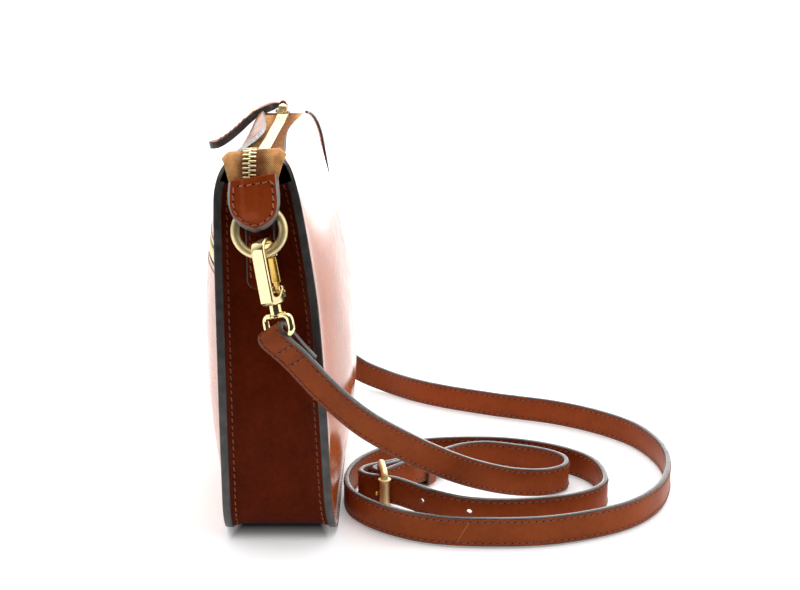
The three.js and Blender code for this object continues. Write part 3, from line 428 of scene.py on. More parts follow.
def tube(shape, line, radius, sides=14, loop=False):
    """A round wire along a line of points; radius is one size or one for each point."""
    count = len(line)
    sizes = [radius] * count if isinstance(radius, (int, float)) else radius
    rings = []
    across = None
    for i, here in enumerate(line):
        before = line[i - 1] if i or loop else here
        after = line[(i + 1) % count] if i + 1 < count or loop else here
        along = (after - before).normalized()
        across = along.orthogonal() if across is None else across - along * across.dot(along)
        across.normalize()
        rings.append(circle(here, across, along.cross(across), sizes[i], sides))
    return shape.loft(rings, loop=loop)


def lathe(shape, profile, place, axis, sides=28, loop=False):
    """Turns a profile of radius and height about an axis."""
    axis = Vector(axis).normalized()
    across = axis.orthogonal().normalized()
    other = axis.cross(across)
    rings = []
    for radius, height in profile:
        rings.append(circle(Vector(place) + axis * height, across, other, radius, sides))
    return shape.loft(rings, loop=loop)


def spline(points, t):
    """A smooth line through points, evened by their distances; t runs from 0 to 1."""
    last = len(points) - 1
    at = clamp(t) * last
    i = min(int(at), last - 1)
    w = at - i
    b, c = points[i], points[i + 1]
    a = points[i - 1] if i else 2 * b - c
    d = points[i + 2] if i + 2 <= last else 2 * c - b
    gaps = [(q - p).length ** 0.5 for p, q in ((a, b), (b, c), (c, d))]
    middle = gaps[1] if gaps[1] > 1e-4 else 1.0
    first = gaps[0] if gaps[0] > 1e-4 else middle
    third = gaps[2] if gaps[2] > 1e-4 else middle
    leave = ((b - a) / first - (c - a) / (first + middle) + (c - b) / middle) * middle
    enter = ((c - b) / middle - (d - b) / (middle + third) + (d - c) / third) * middle
    cubic = 2 * b - 2 * c + leave + enter
    square = -3 * b + 3 * c - 2 * leave - enter
    return b + leave * w + square * w * w + cubic * w**3


def samples(points, count):
    return [spline(points, i / count) for i in range(count + 1)]


def even(line, step):
    """Walks a line of points and gives the share of its index at each step."""
    lengths = [0.0]
    for p, q in zip(line, line[1:]):
        lengths.append(lengths[-1] + (q - p).length)
    count = max(2, round(lengths[-1] / step))
    shares = []
    i = 0
    for k in range(count + 1):
        goal = lengths[-1] * k / count
        while i < len(line) - 2 and lengths[i + 1] < goal:
            i += 1
        span = lengths[i + 1] - lengths[i]
        shares.append((i + (goal - lengths[i]) / span if span else i) / (len(line) - 1))
    return shares


# Stitches: sizes of the thread and its slant, and half sizes and levels of the dark disc of painted shade
# that stands for the hole between two

STITCH_PITCH = 3.6
STITCH_LENGTH = 2.9
STITCH_RADIUS = 0.36
STITCH_SIDES = 6
SLIM_STITCH = 0.3
STITCH_SLANT = 0.16
STITCH_HOLE = (0.6, 0.34)
HOLE_LEVELS = (-0.2, 0.04)
# One stitch: share of its length, share of its radius and rise
STITCH_ROWS = [(-1, 0.35, -0.3), (-0.8, 0.85, 0.04), (0, 1, 0.2), (0.8, 0.85, 0.04), (1, 0.35, -0.3)]


def stitch_row(shape, line, radius=STITCH_RADIUS):
    """Stitches along a line of places and outward normals, with a dark disc of painted shade for the hole
    between them.
    """
    shares = even([place for place, _ in line], STITCH_PITCH / 2)
    turns = [2 * math.pi * i / STITCH_SIDES for i in range(STITCH_SIDES)]
    long, short = STITCH_HOLE

    def at(share):
        i = min(int(share * (len(line) - 1)), len(line) - 2)
        w = share * (len(line) - 1) - i
        place = line[i][0].lerp(line[i + 1][0], w)
        return place, line[i][1].lerp(line[i + 1][1], w).normalized()

    for k in range(1, len(shares) - 1, 2):
        place, out = at(shares[k])
        row = at(shares[k + 1])[0] - at(shares[k - 1])[0]
        row = (row - out * row.dot(out)).normalized()
        along = (row + out.cross(row) * STITCH_SLANT).normalized()
        across = out.cross(along)
        rings = []
        for part, size, rise in STITCH_ROWS:
            centre = place + along * (part * STITCH_LENGTH / 2) + out * rise
            rings.append(circle(centre, across, out, size * radius, STITCH_SIDES))
        shape.loft(rings, 0)
        # Painted shade for the hole: a dark disc laid on the surface
        middle = at(shares[k + 1])[0]
        disc = [middle + along * (math.cos(t) * long) + across * (math.sin(t) * short) for t in turns]
        shape.loft([[p + out * level for p in disc] for level in HOLE_LEVELS], 1)


# Sizes of the rings and the snap hooks that the strap hangs on

CLEAR = 0.3
RING_Y = -5.5
RING_WIRE = 2.2
RING_TOP = Vector((100.5, 0, 168.7))
RING_LOW = Vector((107, 0, 147.1))
LOOP_WIDTH = 14
LOOP_LEAF = 1.6
HOOK_ASIDE = 2.75
HOOK_WIDTH = 6.8
HOOK_METAL = 2.2
THROAT = 4.5
THROAT_RISE = 1.1
NOSE_END = 2
GATE_PIVOT = 19
GATE_WIDTH = 4.6
GATE_ROOT = 2.6
LEVER_FOOT = 4.2
ROOT_RISE = 5
SPINE_END = 24
EYE_TOP = 29.5
EYE_BAR = 38.3
EYE_HALF = 8.5
EYE_WIRE = 1.4
EYE_STOUT = 1.8
EYE_CORNER = 3
POST_RADIUS = 3
CHEEK_TOP = 16
PIVOT_X = THROAT + HOOK_METAL / 2


class Hook:
    """A snap hook's place and axes: down its length, from spine to gate, and along its eye's bar."""

    def __init__(self, place, down, inward, bar):
        self.place = Vector(place)
        self.down = Vector(down).normalized()
        up = -self.down
        across = Vector(inward).cross(up).normalized()
        axes = Matrix((up.cross(across).normalized(), up, across)).transposed()
        self.basis = Matrix.Translation(self.place) @ axes.to_4x4()
        self.bar = (Vector(bar) - self.down * Vector(bar).dot(self.down)).normalized()
        self.bar_place = self.place + self.down * EYE_BAR


NEAR_HOOK = Hook(
    (RING_LOW.x - 0.1, RING_Y + HOOK_ASIDE, RING_LOW.z + 0.33),
    (0.15, 0.18, -0.97),
    (-0.9, 0.43, -0.03),
    (0.6, 0.66, 0.46),
)
FAR_HOOK = Hook((-RING_LOW.x, RING_Y, RING_LOW.z), (-0.12, 0.1, -0.988), (0.96, 0.28, -0.09), (0, 1, 0.1))


def hook_outline():
    outer = THROAT + HOOK_METAL
    points = [(-outer, -SPINE_END + 1.5), (-outer, -9)]
    points += arc(0, THROAT_RISE, outer, 180, 0, 20)
    points += [(outer, -NOSE_END), (THROAT, -NOSE_END)]
    points += arc(0, THROAT_RISE, THROAT, 0, 180, 16)
    points += [(-THROAT, -GATE_PIVOT + 3), (-THROAT + 0.4, -GATE_PIVOT), (-THROAT + 1.6, -GATE_PIVOT - 1.2)]
    points += [(0, -GATE_PIVOT - 1.5), (PIVOT_X - 2, -GATE_PIVOT + 1.2), (outer + 0.6, -GATE_PIVOT + 1.2)]
    points += [(outer + 0.6, -SPINE_END + 4), (outer - 0.6, -SPINE_END + 1.8)]
    points += [(3.4, -SPINE_END), (-outer + 1.5, -SPINE_END)]
    return points[::-1]


def gate(hook):
    shape = Shape()
    half = HOOK_METAL / 2
    lever_half = (GATE_PIVOT - LEVER_FOOT - NOSE_END - CLEAR) / 2
    lever_place = hook.basis @ Matrix.Translation((PIVOT_X, -NOSE_END - CLEAR - lever_half, 0))
    slab(shape, round_rectangle(half, lever_half, 0.7, 4), GATE_WIDTH, 0.6, lever_place)
    root = [(PIVOT_X - half, -GATE_PIVOT + ROOT_RISE)]
    root += arc(PIVOT_X, -GATE_PIVOT, half, 180, 360)
    root += [(PIVOT_X + half, -GATE_PIVOT + ROOT_RISE)]
    slab(shape, root, GATE_ROOT, 0.15, hook.basis)
    end = HOOK_WIDTH / 2
    pin = [(0.05, -end - 0.35), (0.6, -end - 0.2), (0.8, -end + 0.1)]
    pin += [(radius, -height) for radius, height in reversed(pin)]
    across = hook.basis.to_3x3() @ UP
    lathe(shape, pin, hook.basis @ Vector((PIVOT_X, -GATE_PIVOT, 0)), across, 16)
    return shape


def swivel(hook):
    shape = Shape()
    half_high = (EYE_BAR - EYE_TOP) / 2
    place = basis(hook.place + hook.down * (EYE_BAR - half_high), hook.bar, -hook.down)
    line = [place @ Vector((x, y, 0)) for x, y in round_rectangle(EYE_HALF, half_high, EYE_CORNER, 6)]
    tube(shape, line, EYE_STOUT, 14, loop=True)
    neck = [(0.1, SPINE_END + 0.3), (POST_RADIUS, SPINE_END + 0.35), (POST_RADIUS, EYE_TOP - 0.6)]
    neck += [(POST_RADIUS + 0.5, EYE_TOP - 0.2), (POST_RADIUS + 0.4, EYE_TOP + 0.5), (0.1, EYE_TOP + 0.7)]
    lathe(shape, neck, hook.place, hook.down, 20)
    return shape


def hook_body(hook):
    """The hook's plate and two cheeks beside the root of its gate."""
    shape = slab(Shape(), hook_outline(), HOOK_WIDTH, 0.6, hook.basis)
    thick = (HOOK_WIDTH - GATE_ROOT) / 2 - 0.1
    high = (SPINE_END - 1.8 - CHEEK_TOP) / 2
    for side in (-1, 1):
        place = Vector((PIVOT_X - 0.2, -CHEEK_TOP - high, side * (HOOK_WIDTH - thick) / 2))
        slab(shape, round_rectangle(2, high, 0.8, 4), thick, 0.4, hook.basis @ Matrix.Translation(place))
    return shape


def hook_pieces(end, hook):
    made = []
    for name, build, look, body in (
        ("hook", hook_body, POLISHED_BRASS, "bag"),
        ("gate", gate, DEEP_BRASS, f"gate_{end}"),
        ("swivel", swivel, POLISHED_BRASS, "bag"),
    ):
        node = f"{name}_{end}"
        made.append(piece(f"brass_{node}", build(hook), [look], [node], body))
    return made


# Strap: its route is the ribbon's middle and the direction of its width

STRAP_WIDTH = 15
STRAP_THICK = 2.8
STAND = STRAP_WIDTH / 2 + CLEAR
STRAP_TIP = 9
HOLE_RADIUS = 1.5
HOLE_PITCH = 25
HOLE_COUNTS = (-1, 1, 2)
STRAP_PAINT = 6.9
STRAP_STITCH = 5.5
STITCH_GROOVE = 1.3
STRAP_FACE = 1.45
SEAM_END = 3
TIP_SEAM_END = 9
BOX_STITCHES = (38, 47)
SPLICE_PLACE = Vector((106.2, 91, STAND))
SPLICE_LEAN = 3
SPLICE_RADIUS = 0.32
BUCKLE_ROLLER = Vector((67.5, 52.5, 12.6))
BUCKLE_ALONG = Vector((-0.993, -0.12, 0)).normalized()
BUCKLE_LENGTH = 18
BUCKLE_HALF = 10.6
BUCKLE_WIRE = 1.6
BUCKLE_STOUT = 1.85
BUCKLE_CORNER = 3
ROLLER_INNER = 1.9
ROLLER_OUTER = 2.6
ROLLER_LIP = 0.7
ROLLER_HALF = 7.7
PRONG_RADIUS = 1
KEEPER_LEATHER = 1.4
KEEPER_WIDTH = 7
KEEPER_PLACE = Vector((23, 75.2, 10.2))
KEEPER_TO_TAIL = Vector((-2.2, -3, 0))
KEEPER_EASE = 0.6
KEEPER_RISE = 0.9
KEEPER_CORNER = 1.4
FOLD_GAP = 0.4
HEEL_BAR = BUCKLE_ROLLER + BUCKLE_ALONG * BUCKLE_LENGTH
# The near fold hangs loosely at one end of the eye's bar
NEAR_FOLD = NEAR_HOOK.bar_place + Vector((-0.3, -2.5, -0.9))
# The two layers of a fold: distance from the bar and half the distance between their middles
FOLD_ROWS = [(21, 1.65), (13, 1.8), (6, 2.6)]


def fold_rows(bar, wire, leave, side, wide):
    """The strap's end folded round a bar: the short layer, the bend, then the long layer."""
    bend = wire + FOLD_GAP + STRAP_THICK / 2
    along = Vector(leave).normalized()
    out = (Vector(side) - along * Vector(side).dot(along)).normalized()
    layers = [(far, -off) for far, off in FOLD_ROWS]
    for degrees in (-90, -45, 0, 45, 90):
        a = math.radians(degrees)
        layers.append((-bend * math.cos(a), bend * math.sin(a)))
    layers += FOLD_ROWS[::-1]
    return [(bar + along * far + out * off, Vector(wide)) for far, off in layers]


def standing(x, y, z=STAND):
    return Vector((x, y, z)), UP.copy()


def turned(x, y, z, wide):
    return Vector((x, y, z)), Vector(wide)


# Where the strap stands on its edge: x, y and, if it is off the floor, the height of its middle
LONG_STANDS = [
    (-140, 50, 8.3), (-114.5, 77.4), (-92, 117.2), (-75, 155.8), (-56.9, 179.6), (-36, 196.1),
    (-11.2, 204.6), (15, 206.5), (44.6, 201.1), (67.9, 190.5), (87.5, 172.2), (103.6, 137.9), (107, 105.5),
    (102.5, 73.7), (89, 51.5), (71, 36.8), (55, 32.6), (37.4, 33.8), (18.6, 40.8), (0.4, 57), (-8.4, 76.6),
    (-11.2, 99.8), (-8.6, 124.1), (3.4, 148.4), (21, 164), (43, 168.5), (60, 165.5), (73, 152),
    (80.5, 128.7), (82, 106.8), (79.5, 90, 8.4), (74.5, 75, 10.4), (69, 66, 11.8), (64, 57.8, 12.6),
    (60.8, 49.5, 12.6), (58.2, 43, 12.6), (54, 40, 12.6), (48.4, 41.4, 12.5), (43.8, 45.8, 12.3),
    (40.4, 51, 12.1), (36.7, 56.9, 11.9), (31.6, 63.3, 11.4), (24.9, 69.2, 10.6), (15, 76.3, 9.3),
    (5.5, 83.4, 8.2),
]
LONG_ROUTE = [
    *fold_rows(FAR_HOOK.bar_place, EYE_WIRE, (-0.3, 0.1, -0.95), (-1, 0, 0), FAR_HOOK.bar),
    turned(-126, 3, 70, (0.1, 0.98, 0.12)),
    turned(-138, 9, 46, (0.3, 0.9, 0.35)),
    turned(-148, 19, 25, (0.35, 0.6, 0.7)),
    turned(-150, 33, 13, (0.1, 0.2, 0.97)),
    *[standing(*spot) for spot in LONG_STANDS],
]
SHORT_STANDS = [
    (46, 120.3, 10.6), (40, 138, 8), (31.5, 149), (19, 149.5), (9, 141), (1, 124), (-3.4, 108),
    (-0.4, 95.5), (7, 87, 8.2), (17, 79.6, 9.2), (27, 72.4, 10.8),
]
SHORT_ROUTE = [
    *fold_rows(NEAR_FOLD, EYE_WIRE, (-0.154, 0.635, -0.757), (0.913, -0.2, -0.353), (0.375, 0.746, 0.549)),
    turned(107.3, 22.6, 82.6, (0.38, 0.62, 0.68)),
    turned(103, 34.6, 69.6, (0.4, 0.42, 0.8)),
    turned(97, 44.8, 59.4, (0.35, 0.3, 0.88)),
    turned(86, 59.9, 46.5, (0.25, 0.2, 0.95)),
    turned(75, 73.7, 35.4, (0.15, 0.1, 0.98)),
    turned(59, 96.5, 20.6, (0.05, 0, 1)),
    *[standing(*spot) for spot in SHORT_STANDS],
    *fold_rows(HEEL_BAR, BUCKLE_WIRE, (-0.64, 0.77, 0), (-0.77, -0.64, 0), UP)[::-1],
]


def stations(route):
    """Place, direction, width and face of the ribbon at each millimetre."""
    places = [place for place, _ in route]
    widths = [wide for _, wide in route]
    found = []
    for t in even(samples(places, 4000), 1):
        along = (spline(places, t + 1e-4) - spline(places, t - 1e-4)).normalized()
        wide = spline(widths, t)
        wide = (wide - along * wide.dot(along)).normalized()
        found.append((spline(places, t), along, wide, along.cross(wide)))
    return found


# One face of the strap and half of its painted edges: across it and above its middle
STRAP_SECTION = [
    (-7.5, 0.6), (-7.3, 1.15), (-6.85, 1.4), (-6.2, 1.42), (-STRAP_STITCH, STITCH_GROOVE), (-4.8, 1.43),
    (0, 1.46), (4.8, 1.43), (STRAP_STITCH, STITCH_GROOVE), (6.2, 1.42), (6.85, 1.4), (7.3, 1.15),
    (7.5, 0.6),
]


def strap(line, tip=0.0):
    """The ribbon with painted edges; a tip is the length over which its last end is rounded."""
    section = STRAP_SECTION + [(-w, -f) for w, f in STRAP_SECTION]
    rings = []
    flat = []
    for k, (place, _, wide, face) in enumerate(line):
        left = len(line) - 1 - k
        narrow = math.sqrt(1 - (1 - left / tip) ** 2 * 0.98) if left < tip else 1
        rings.append([place + wide * (w * narrow) + face * f for w, f in section])
        flat += [(k * MM, w * MM) for w, _ in section]
    return Shape().loft(rings, edge_kinds(section, STRAP_PAINT), flat=flat, cap_kind=1)


def strap_stitching(line, end, boxes):
    """Rows near both edges of both faces, and rows across at the sewn folds."""
    shape = Shape()
    steps = [-STRAP_STITCH + STRAP_STITCH * i / 3 for i in range(7)]
    for side in (-1, 1):
        for across in (-STRAP_STITCH, STRAP_STITCH):
            part = line[SEAM_END:-end]
            row = [(p + w * across + f * (side * STITCH_GROOVE), f * side) for p, _, w, f in part]
            stitch_row(shape, row)
        for at in boxes:
            place, _, wide, face = line[at]
            stitch_row(shape, [(place + wide * s + face * (side * STRAP_FACE), face * side) for s in steps])
    return shape


def nearest(line, spot):
    return min(range(len(line)), key=lambda i: (line[i][0] - spot).length)


def splice(line):
    """The slanting joint between two lengths of the long strap, on its outer face."""
    middle = nearest(line, SPLICE_PLACE)
    spots = []
    for i in range(-SPLICE_LEAN, SPLICE_LEAN + 1):
        place, _, wide, face = line[middle + i]
        spots.append(place - wide * (i / SPLICE_LEAN * STRAP_STITCH) - face * STITCH_GROOVE)
    return tube(Shape(), spots, SPLICE_RADIUS, 8)


def buckle_spot(along, off):
    aside = Vector((-BUCKLE_ALONG.y, BUCKLE_ALONG.x, 0))
    return BUCKLE_ROLLER + BUCKLE_ALONG * along + aside * off


PRONG_ROOT = buckle_spot(12.4, -0.8)
PRONG_TIP = buckle_spot(-1.4, ROLLER_OUTER + PRONG_RADIUS + 1)


def strap_holes(line):
    shape = Shape()
    middle = nearest(line, (PRONG_ROOT + PRONG_TIP) / 2)
    for count in HOLE_COUNTS:
        place, _, _, face = line[middle - round(count * HOLE_PITCH)]
        tube(shape, [place - face * STRAP_THICK, place + face * STRAP_THICK], HOLE_RADIUS, 20)
    tube(shape, [PRONG_ROOT, PRONG_TIP], PRONG_RADIUS + CLEAR, 16)
    return shape


def buckle_frame():
    place = basis(BUCKLE_ROLLER + BUCKLE_ALONG * (BUCKLE_LENGTH / 2), BUCKLE_ALONG, UP)
    loop = round_rectangle(BUCKLE_LENGTH / 2, BUCKLE_HALF, BUCKLE_CORNER, 7)
    return tube(Shape(), [place @ Vector((x, y, 0)) for x, y in loop], BUCKLE_STOUT, 16, loop=True)


def buckle_roller():
    lip = ROLLER_OUTER + ROLLER_LIP
    end = -ROLLER_HALF
    profile = [(ROLLER_INNER, end), (lip - 0.2, end), (lip, end + 0.2)]
    profile += [(lip - 0.1, end + 0.8), (ROLLER_OUTER, end + 1.2)]
    profile += [(r, -h) for r, h in reversed(profile)]
    return lathe(Shape(), profile, BUCKLE_ROLLER, UP, 32, loop=True)


def prong():
    along = (PRONG_TIP - PRONG_ROOT).normalized()
    span = (PRONG_TIP - PRONG_ROOT).length
    sizes = [(0, 0.1), (0.15, 0.7), (0.6, 1)]
    sizes += [(span - 3, 1), (span - 0.6, 0.8), (span - 0.1, 0.45), (span, 0.1)]
    line = [PRONG_ROOT + along * far for far, _ in sizes]
    return tube(Shape(), line, [share * PRONG_RADIUS for _, share in sizes])


def keeper(long, short):
    """A leather loop round both lengths of the strap, with painted edges."""
    inside = short[nearest(short, KEEPER_PLACE)]
    tail = long[nearest(long, inside[0] + KEEPER_TO_TAIL)]
    between = inside[0] - tail[0]
    grow = KEEPER_LEATHER / 2
    half_deep = Vector((between.x, between.y, 0)).length / 2 + STRAP_THICK / 2 + KEEPER_EASE
    half_high = STRAP_WIDTH / 2 + KEEPER_RISE
    place = basis(inside[0].lerp(tail[0], 0.5), Vector((inside[3].x, inside[3].y, 0)), UP)
    loop = round_rectangle(half_deep + grow, half_high + grow, KEEPER_CORNER)
    half = KEEPER_WIDTH / 2
    section = [(0.2, half - 0.1), (0.8, half), (1, half - 0.4), (1, 0.4 - half)]
    section += [(1 - share, -level) for share, level in section]
    rings = []
    for (ox, oy), (ix, iy) in zip(inset(loop, -grow), inset(loop, grow)):
        rings.append([place @ Vector((ix + (ox - ix) * s, iy + (oy - iy) * s, z)) for s, z in section])
    return Shape().loft(rings, [1, 1, 0, 1, 1, 1, 0, 1], loop=True)


STRAP_LOOKS = [STRAP_LEATHER, STRAP_EDGE]
SEWN_LOOKS = [THREAD, HOLE_SHADE]
STRAP_SEWN_LOOKS = [STRAP_THREAD, HOLE_SHADE]
PALE_LOOKS = [PALE_THREAD, HOLE_SHADE]
LONG_LINE = stations(LONG_ROUTE)
SHORT_LINE = stations(SHORT_ROUTE)
HEEL_STITCHES = [len(SHORT_LINE) - at for at in BOX_STITCHES]

long_shape = strap(LONG_LINE, STRAP_TIP)
long_strap = piece("leather_strap_long", long_shape, STRAP_LOOKS, ["strap_long"])
cut(long_strap, strap_holes(LONG_LINE))
short_strap = piece("leather_strap_short", strap(SHORT_LINE), STRAP_LOOKS, ["strap_short"])
long_sewing = strap_stitching(LONG_LINE, TIP_SEAM_END, BOX_STITCHES)
short_sewing = strap_stitching(SHORT_LINE, SEAM_END, [*BOX_STITCHES, *HEEL_STITCHES])
LONG_FITTINGS = [
    piece("strap_stitching_long", long_sewing, STRAP_SEWN_LOOKS),
    piece("strap_splice", splice(LONG_LINE), [SPLICE]),
    *hook_pieces("far", FAR_HOOK),
]
SHORT_FITTINGS = [
    piece("strap_stitching_short", short_sewing, STRAP_SEWN_LOOKS),
    *hook_pieces("near", NEAR_HOOK),
    piece("brass_buckle_frame", buckle_frame(), [SATIN_BRASS], ["buckle_frame"]),
    piece("brass_buckle_roller", buckle_roller(), [SATIN_BRASS], ["buckle_roller"]),
    piece("brass_buckle_prong", prong(), [DEEP_BRASS], ["buckle_prong"]),
    piece("leather_keeper", keeper(LONG_LINE, SHORT_LINE), STRAP_LOOKS, ["strap_keeper"]),
]


# Leather body

HALF_LENGTH = 100
TOP = 190
BOTTOM_CORNER = 22
TOP_CORNER = 18
PANEL = 1.8
GUSSET = 1.6
RIM_INSET = 0.3
FRONT_BULGE = 15.5
BACK_BULGE = 12.5
BULGE_EASE = 1.5
BULGE_HALF_LENGTH = 95
BULGE_HEIGHT = 80
BULGE_DOWN = 77
BULGE_UP = 108
BULGE_ALONG_POWER = 2.6
BULGE_RISE_POWER = 2.4
PANEL_WAVE = 0.5
PANEL_WAVE_SCALE = 0.03
FRONT_LIP_DRAW = 6.5
BACK_LIP_DRAW = 4.2
LIP_MIDDLE = -6
LIP_REACH = 92
LIP_START = 166
LIP_POWER = 1.5
POCKET_LOW = 136.4
POCKET_HIGH = 145.6
GUSSET_TOP = 180
BAND_WIDTH = 3.95
BAND_DEPTH = 1.8
BAND_SOFT = 0.6
BAND_PROUD = 0.05
BAND_SLIM = 0.5
BAND_SLIM_RISE = 3
BAND_CORNER = range(30, 86, 5)
BAND_LAP = 1.5
BAND_LAP_FROM = 70
BAND_LAP_FADE = 15
BAND_LAP_LOW = 60
BAND_LAP_RISE = 140
BOTTOM_FILL = 0.6
GUSSET_WAVE = 0.35
GUSSET_WAVE_ALONG = 0.045
GUSSET_WAVE_ACROSS = 0.06
GUSSET_WAVE_FROM = 2.5
GUSSET_WAVE_FADE = 1.7
GUSSET_STITCH = 4.2
PANEL_STITCH = 4.2
PANEL_STITCH_TOP = 40
PANEL_THREAD = 0.25
PANEL_THREAD_SINK = 0.1
POCKET_SEAM = 3
POCKET_SEAM_END = 93

# Edges of the panels by height: front and back
EDGE_ROWS = [
    (0, -27, 29), (12, -27.1, 27.6), (28, -27.2, 26.5), (63, -27.5, 25), (99, -27.6, 23), (123, -27.6, 21),
    (148, -27.5, 17.6), (172, -27, 13.6), (180, -25.8, 11.6), (186, -23.4, 9), (190, -19.5, 5.4),
]
# Gusset section from the panel's inner face: distance across and depth below the outline
GUSSET_ROWS = [(1.4, 0.9), (2.1, 1.5), (2.9, 2.2), (4, 3), (5.6, 3.7), (8.5, 4.2)]


def smooth_rows(rows, value, at):
    """A smooth value between table rows, by their first column."""
    i = 0
    while i < len(rows) - 2 and rows[i + 1][0] < at:
        i += 1

    def slope(k):
        low, high = rows[max(k - 1, 0)], rows[min(k + 1, len(rows) - 1)]
        return (high[value] - low[value]) / (high[0] - low[0])

    span = rows[i + 1][0] - rows[i][0]
    w = (at - rows[i][0]) / span
    start, end = rows[i][value], rows[i + 1][value]
    leave, enter = slope(i) * span, slope(i + 1) * span
    square = 3 * (end - start) - 2 * leave - enter
    cubic = 2 * (start - end) + leave + enter
    return start + leave * w + square * w * w + cubic * w**3


def edge(side, height):
    return smooth_rows(EDGE_ROWS, 1 if side < 0 else 2, clamp(height, 0, TOP))


def bulge(side, x, height):
    reach = BULGE_DOWN if height < BULGE_HEIGHT else BULGE_UP
    along = max(0, 1 - abs(x / BULGE_HALF_LENGTH) ** BULGE_ALONG_POWER)
    rise = max(0, 1 - abs((height - BULGE_HEIGHT) / reach) ** BULGE_RISE_POWER)
    full = (FRONT_BULGE if side < 0 else BACK_BULGE) * along * rise
    spot = Vector((x * PANEL_WAVE_SCALE, side * 9, height * PANEL_WAVE_SCALE))
    soft = PANEL_WAVE * along * rise * noise.noise(spot)
    return math.hypot(full, BULGE_EASE) - BULGE_EASE + soft


def lip_draw(side, x, height):
    """How far a top lip bows inwards."""
    along = min(1, abs(x - LIP_MIDDLE) / LIP_REACH)
    up = clamp((height - LIP_START) / (TOP - LIP_START))
    most = FRONT_LIP_DRAW if side < 0 else BACK_LIP_DRAW
    return most * math.cos(along * math.pi / 2) ** 2 * up**LIP_POWER


def panel_y(side, x, height):
    return edge(side, height) + side * (bulge(side, x, height) - lip_draw(side, x, height))


def half_length(height):
    low = max(0, BOTTOM_CORNER - height)
    high = max(0, height - TOP + TOP_CORNER)
    from_low = BOTTOM_CORNER - math.sqrt(BOTTOM_CORNER**2 - low**2)
    from_high = TOP_CORNER - math.sqrt(TOP_CORNER**2 - high**2)
    return HALF_LENGTH - from_low - from_high - RIM_INSET


def panel_normal(side, x, height):
    step = 0.6
    along = Vector((2 * step, panel_y(side, x + step, height) - panel_y(side, x - step, height), 0))
    low, high = max(height - step, 0), min(height + step, TOP)
    rise = Vector((0, panel_y(side, x, high) - panel_y(side, x, low), high - low))
    return (along.cross(rise) if side < 0 else rise.cross(along)).normalized()


def on_panel(side, x, height, out=0.0):
    """A place on the panel's outer face, moved out, and the normal there."""
    normal = panel_normal(side, x, height)
    return Vector((x, panel_y(side, x, height), height)) + normal * out, normal


def panel_heights(low, high):
    heights = [BOTTOM_CORNER * (1 - math.cos(math.radians(a))) for a in range(0, 91, 6)]
    heights += [BOTTOM_CORNER + 2.5 * i for i in range(1, 60)]
    heights += [TOP - TOP_CORNER + TOP_CORNER * math.sin(math.radians(a)) for a in range(0, 91, 6)]
    inside = sorted({round(h, 3) for h in heights if low + 0.4 < h < high - 0.2})
    return [max(low, RIM_INSET), *inside, high]


def panel(side, low, high):
    parts = [math.sin(math.radians(a)) for a in range(-90, 91, 3)]
    outer = []
    inner = []
    for height in panel_heights(low, high):
        xs = [part * half_length(height) for part in parts]
        outer.append([on_panel(side, x, height)[0] for x in xs])
        inner.append([on_panel(side, x, height, -PANEL)[0] for x in xs])
    return Shape().wall(outer, inner)


def top_corner(side, angles):
    """Places and outward normals on the rounded top corner of the near or far end, by degrees of rise."""
    line = []
    for a in [math.radians(angle) for angle in angles]:
        n = (side * math.cos(a), math.sin(a))
        x = side * (HALF_LENGTH - TOP_CORNER) + TOP_CORNER * n[0]
        line.append((x, TOP - TOP_CORNER + TOP_CORNER * n[1], n))
    return line


def outline(step=4.0, amount=0.0):
    """Places and outward normals round the near end, the bottom and the far end, moved in by an amount."""
    top_angle = math.degrees(math.asin((GUSSET_TOP - TOP + TOP_CORNER) / TOP_CORNER))
    line = top_corner(1, [top_angle * i / 4 for i in range(4, 0, -1)])
    straight = TOP - TOP_CORNER - BOTTOM_CORNER
    count = int(straight / step)
    for i in range(count):
        line.append((HALF_LENGTH, TOP - TOP_CORNER - straight * i / count, (1, 0)))
    for a in [math.radians(degrees) for degrees in range(0, 91, 6)]:
        n = (math.cos(a), -math.sin(a))
        line.append((HALF_LENGTH - BOTTOM_CORNER + BOTTOM_CORNER * n[0], BOTTOM_CORNER * (1 + n[1]), n))
    flat = HALF_LENGTH - BOTTOM_CORNER
    count = int(flat / step)
    for i in range(1, count):
        line.append((flat * (1 - i / count), 0, (0, -1)))
    whole = line + [(0, 0, (0, -1))] + [(-x, z, (-n[0], n[1])) for x, z, n in reversed(line)]
    return [(x - n[0] * amount, z - n[1] * amount, n) for x, z, n in whole]


def gusset_depth(across):
    last = GUSSET_ROWS[-1]
    return smooth_rows(GUSSET_ROWS, 1, across) if across < last[0] else last[1]


def gusset():
    outer = []
    inner = []
    first, wide = GUSSET_ROWS[0][0], GUSSET_ROWS[-1][0]
    for x, z, n in outline():
        front, back = edge(-1, z) + PANEL, edge(1, z) - PANEL
        half = (back - front) / 2
        reaches = [first + (wide - first) * (i / 12) ** 1.4 for i in range(12)]
        reaches += [wide + (half - wide) * i / 8 for i in range(9)]
        section = [(front + a, gusset_depth(a)) for a in reaches]
        section += [(back - a, gusset_depth(a)) for a in reversed(reaches[:-1])]
        row = []
        under = []
        fill = 1 - BOTTOM_FILL * max(0, -n[1])
        for y, recess in section:
            depth = recess * fill
            spot = Vector((x * GUSSET_WAVE_ALONG, y * GUSSET_WAVE_ACROSS, z * GUSSET_WAVE_ALONG))
            soft = GUSSET_WAVE * clamp((depth - GUSSET_WAVE_FROM) / GUSSET_WAVE_FADE) * noise.noise(spot)
            place = Vector((x - n[0] * (depth + soft), y, z - n[1] * (depth + soft)))
            row.append(place)
            under.append(place - Vector((n[0], 0, n[1])) * GUSSET)
        outer.append(row)
        inner.append(under)
    return Shape().wall(outer, inner)


